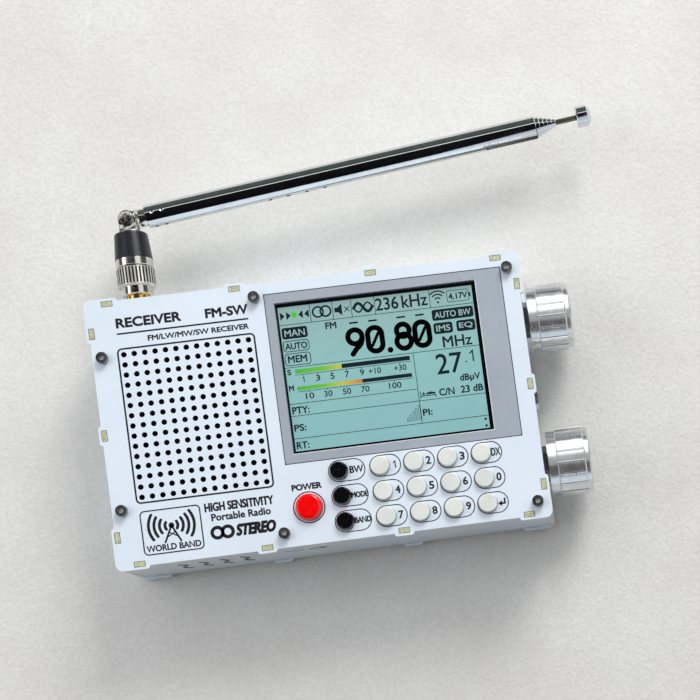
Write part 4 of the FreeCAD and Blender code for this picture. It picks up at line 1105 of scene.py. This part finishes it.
def make_world():
    """Soft sky: matt surfaces see more light from above, and mirrors see bright and dim bands."""
    world = bpy.data.worlds.new("studio")
    world.use_nodes = True
    bpy.context.scene.world = world
    tree = world.node_tree
    link = tree.links.new
    way = tree.nodes.new("ShaderNodeSeparateXYZ")
    link(tree.nodes.new("ShaderNodeTexCoord").outputs["Generated"], way.inputs[0])

    def stops(ramp, entries):
        while len(ramp.color_ramp.elements) < len(entries):
            ramp.color_ramp.elements.new(0.5)
        for element, (position, shade) in zip(ramp.color_ramp.elements, entries):
            element.position = position
            element.color = shade

    rise = tree.nodes.new("ShaderNodeMapRange")
    rise.inputs["From Min"].default_value = -1
    link(way.outputs["Z"], rise.inputs["Value"])
    soft = tree.nodes.new("ShaderNodeValToRGB")
    stops(soft, [(0.0, (0.09, 0.09, 0.095, 1)), (0.3, (0.24, 0.24, 0.25, 1)), (0.47, (0.5, 0.5, 0.52, 1)),
                 (1.0, (1.05, 1.05, 1.07, 1))])
    link(rise.outputs[0], soft.inputs[0])

    front = tree.nodes.new("ShaderNodeMath")
    front.operation = "MULTIPLY"
    front.inputs[1].default_value = -1
    link(way.outputs["Y"], front.inputs[0])
    angle = tree.nodes.new("ShaderNodeMath")
    angle.operation = "ARCTAN2"
    link(way.outputs["Z"], angle.inputs[0])
    link(front.outputs[0], angle.inputs[1])
    turn = tree.nodes.new("ShaderNodeMapRange")
    turn.inputs["From Min"].default_value = -math.pi
    turn.inputs["From Max"].default_value = math.pi
    link(angle.outputs[0], turn.inputs["Value"])
    mirror = tree.nodes.new("ShaderNodeValToRGB")
    stops(mirror, [
        (0.0, (0.78, 0.8, 0.82, 1)), (0.28, (0.78, 0.87, 0.96, 1)), (0.33, (0.72, 0.8, 0.9, 1)),
        (0.36, (0.6, 0.64, 0.7, 1)), (0.54, (0.66, 0.67, 0.68, 1)), (0.568, (1.3, 1.3, 1.28, 1)),
        (0.578, (0.06, 0.08, 0.075, 1)), (0.8, (0.13, 0.15, 0.13, 1)), (0.85, (0.7, 0.72, 0.7, 1)),
        (1.0, (0.8, 0.82, 0.84, 1)),
    ])
    link(turn.outputs[0], mirror.inputs[0])

    path = tree.nodes.new("ShaderNodeLightPath")
    both = tree.nodes.new("ShaderNodeMix")
    both.data_type = "RGBA"
    link(path.outputs["Is Glossy Ray"], both.inputs[0])
    link(soft.outputs["Color"], both.inputs[6])
    link(mirror.outputs["Color"], both.inputs[7])
    link(both.outputs[2], tree.nodes["Background"].inputs["Color"])


def strip_light(name, aim, rise, half, radiance, tint, receivers):
    """A long lamp that lights only some nodes. It fills the angles within half of rise above the horizon, as
    seen from aim, and its length lies along X."""
    reach = 0.6
    angle = math.radians(rise)
    place = (aim[0], aim[1] - reach * math.cos(angle), aim[2] + reach * math.sin(angle))
    light = area_light(name, place, aim, 0.25, 1, tint)
    light.data.shape = "RECTANGLE"
    light.data.size_y = 2 * reach * math.tan(math.radians(half))
    light.data.energy = radiance * math.pi * light.data.size * light.data.size_y
    light.light_linking.receiver_collection = receivers


def light_knobs():
    """White above, grey in front and brown-grey below, in the polished knobs alone."""
    receivers = bpy.data.collections.new("knobs_only")
    for node in ("upper_knob", "lower_knob"):
        receivers.objects.link(NODES[node])
    aim = (0.08, 0, 0.045)
    strip_light("knob_white", aim, 37.5, 23.5, 1.7, (1, 1, 1), receivers)
    strip_light("knob_grey", aim, -2.5, 16.5, 0.42, (1, 1, 1), receivers)
    strip_light("knob_brown", aim, -42, 23, 0.08, (1, 0.88, 0.78), receivers)


def light_sparkles():
    """Small bright lamps that only mirrors can see, for glints on screws, caps and rims."""
    for index, (x, z) in enumerate(((-0.55, 0.62), (0.7, 0.6), (0.75, -0.5), (-0.5, -0.62)), start=1):
        lamp = area_light(f"sparkle_{index}", (x, -0.62, z), (0, 0, 0.05), 0.07, 0.22)
        lamp.data.shape = "DISK"
        lamp.visible_diffuse = False
        lamp.visible_transmission = False


def make_studio():
    camera, mark = make_camera()
    floor = make_surfaces(camera, mark)
    make_card()
    make_world()
    area_light("key", (0.45, -0.6, 0.85), (0, 0, 0.05), 0.45, 8.0, (1.0, 0.99, 0.97))
    fill = area_light("fill", (-0.8, -0.75, 0.14), (0, 0, 0.05), 0.7, 3.0, (0.97, 0.98, 1.0))
    spared = bpy.data.collections.new("spared_by_fill")
    spared.objects.link(floor)
    spared.collection_objects[0].light_linking.link_state = "EXCLUDE"
    fill.light_linking.receiver_collection = spared
    light_knobs()
    light_sparkles()
    view = bpy.context.scene.view_settings
    view.view_transform = "Standard"
    view.look = "None"


dress_boards()
dress_nodes()
dress_screws()
dress_antenna()
print_front()
print_bottom()
draw_screen()
bezel_lines()
grille_cloth()
make_studio()
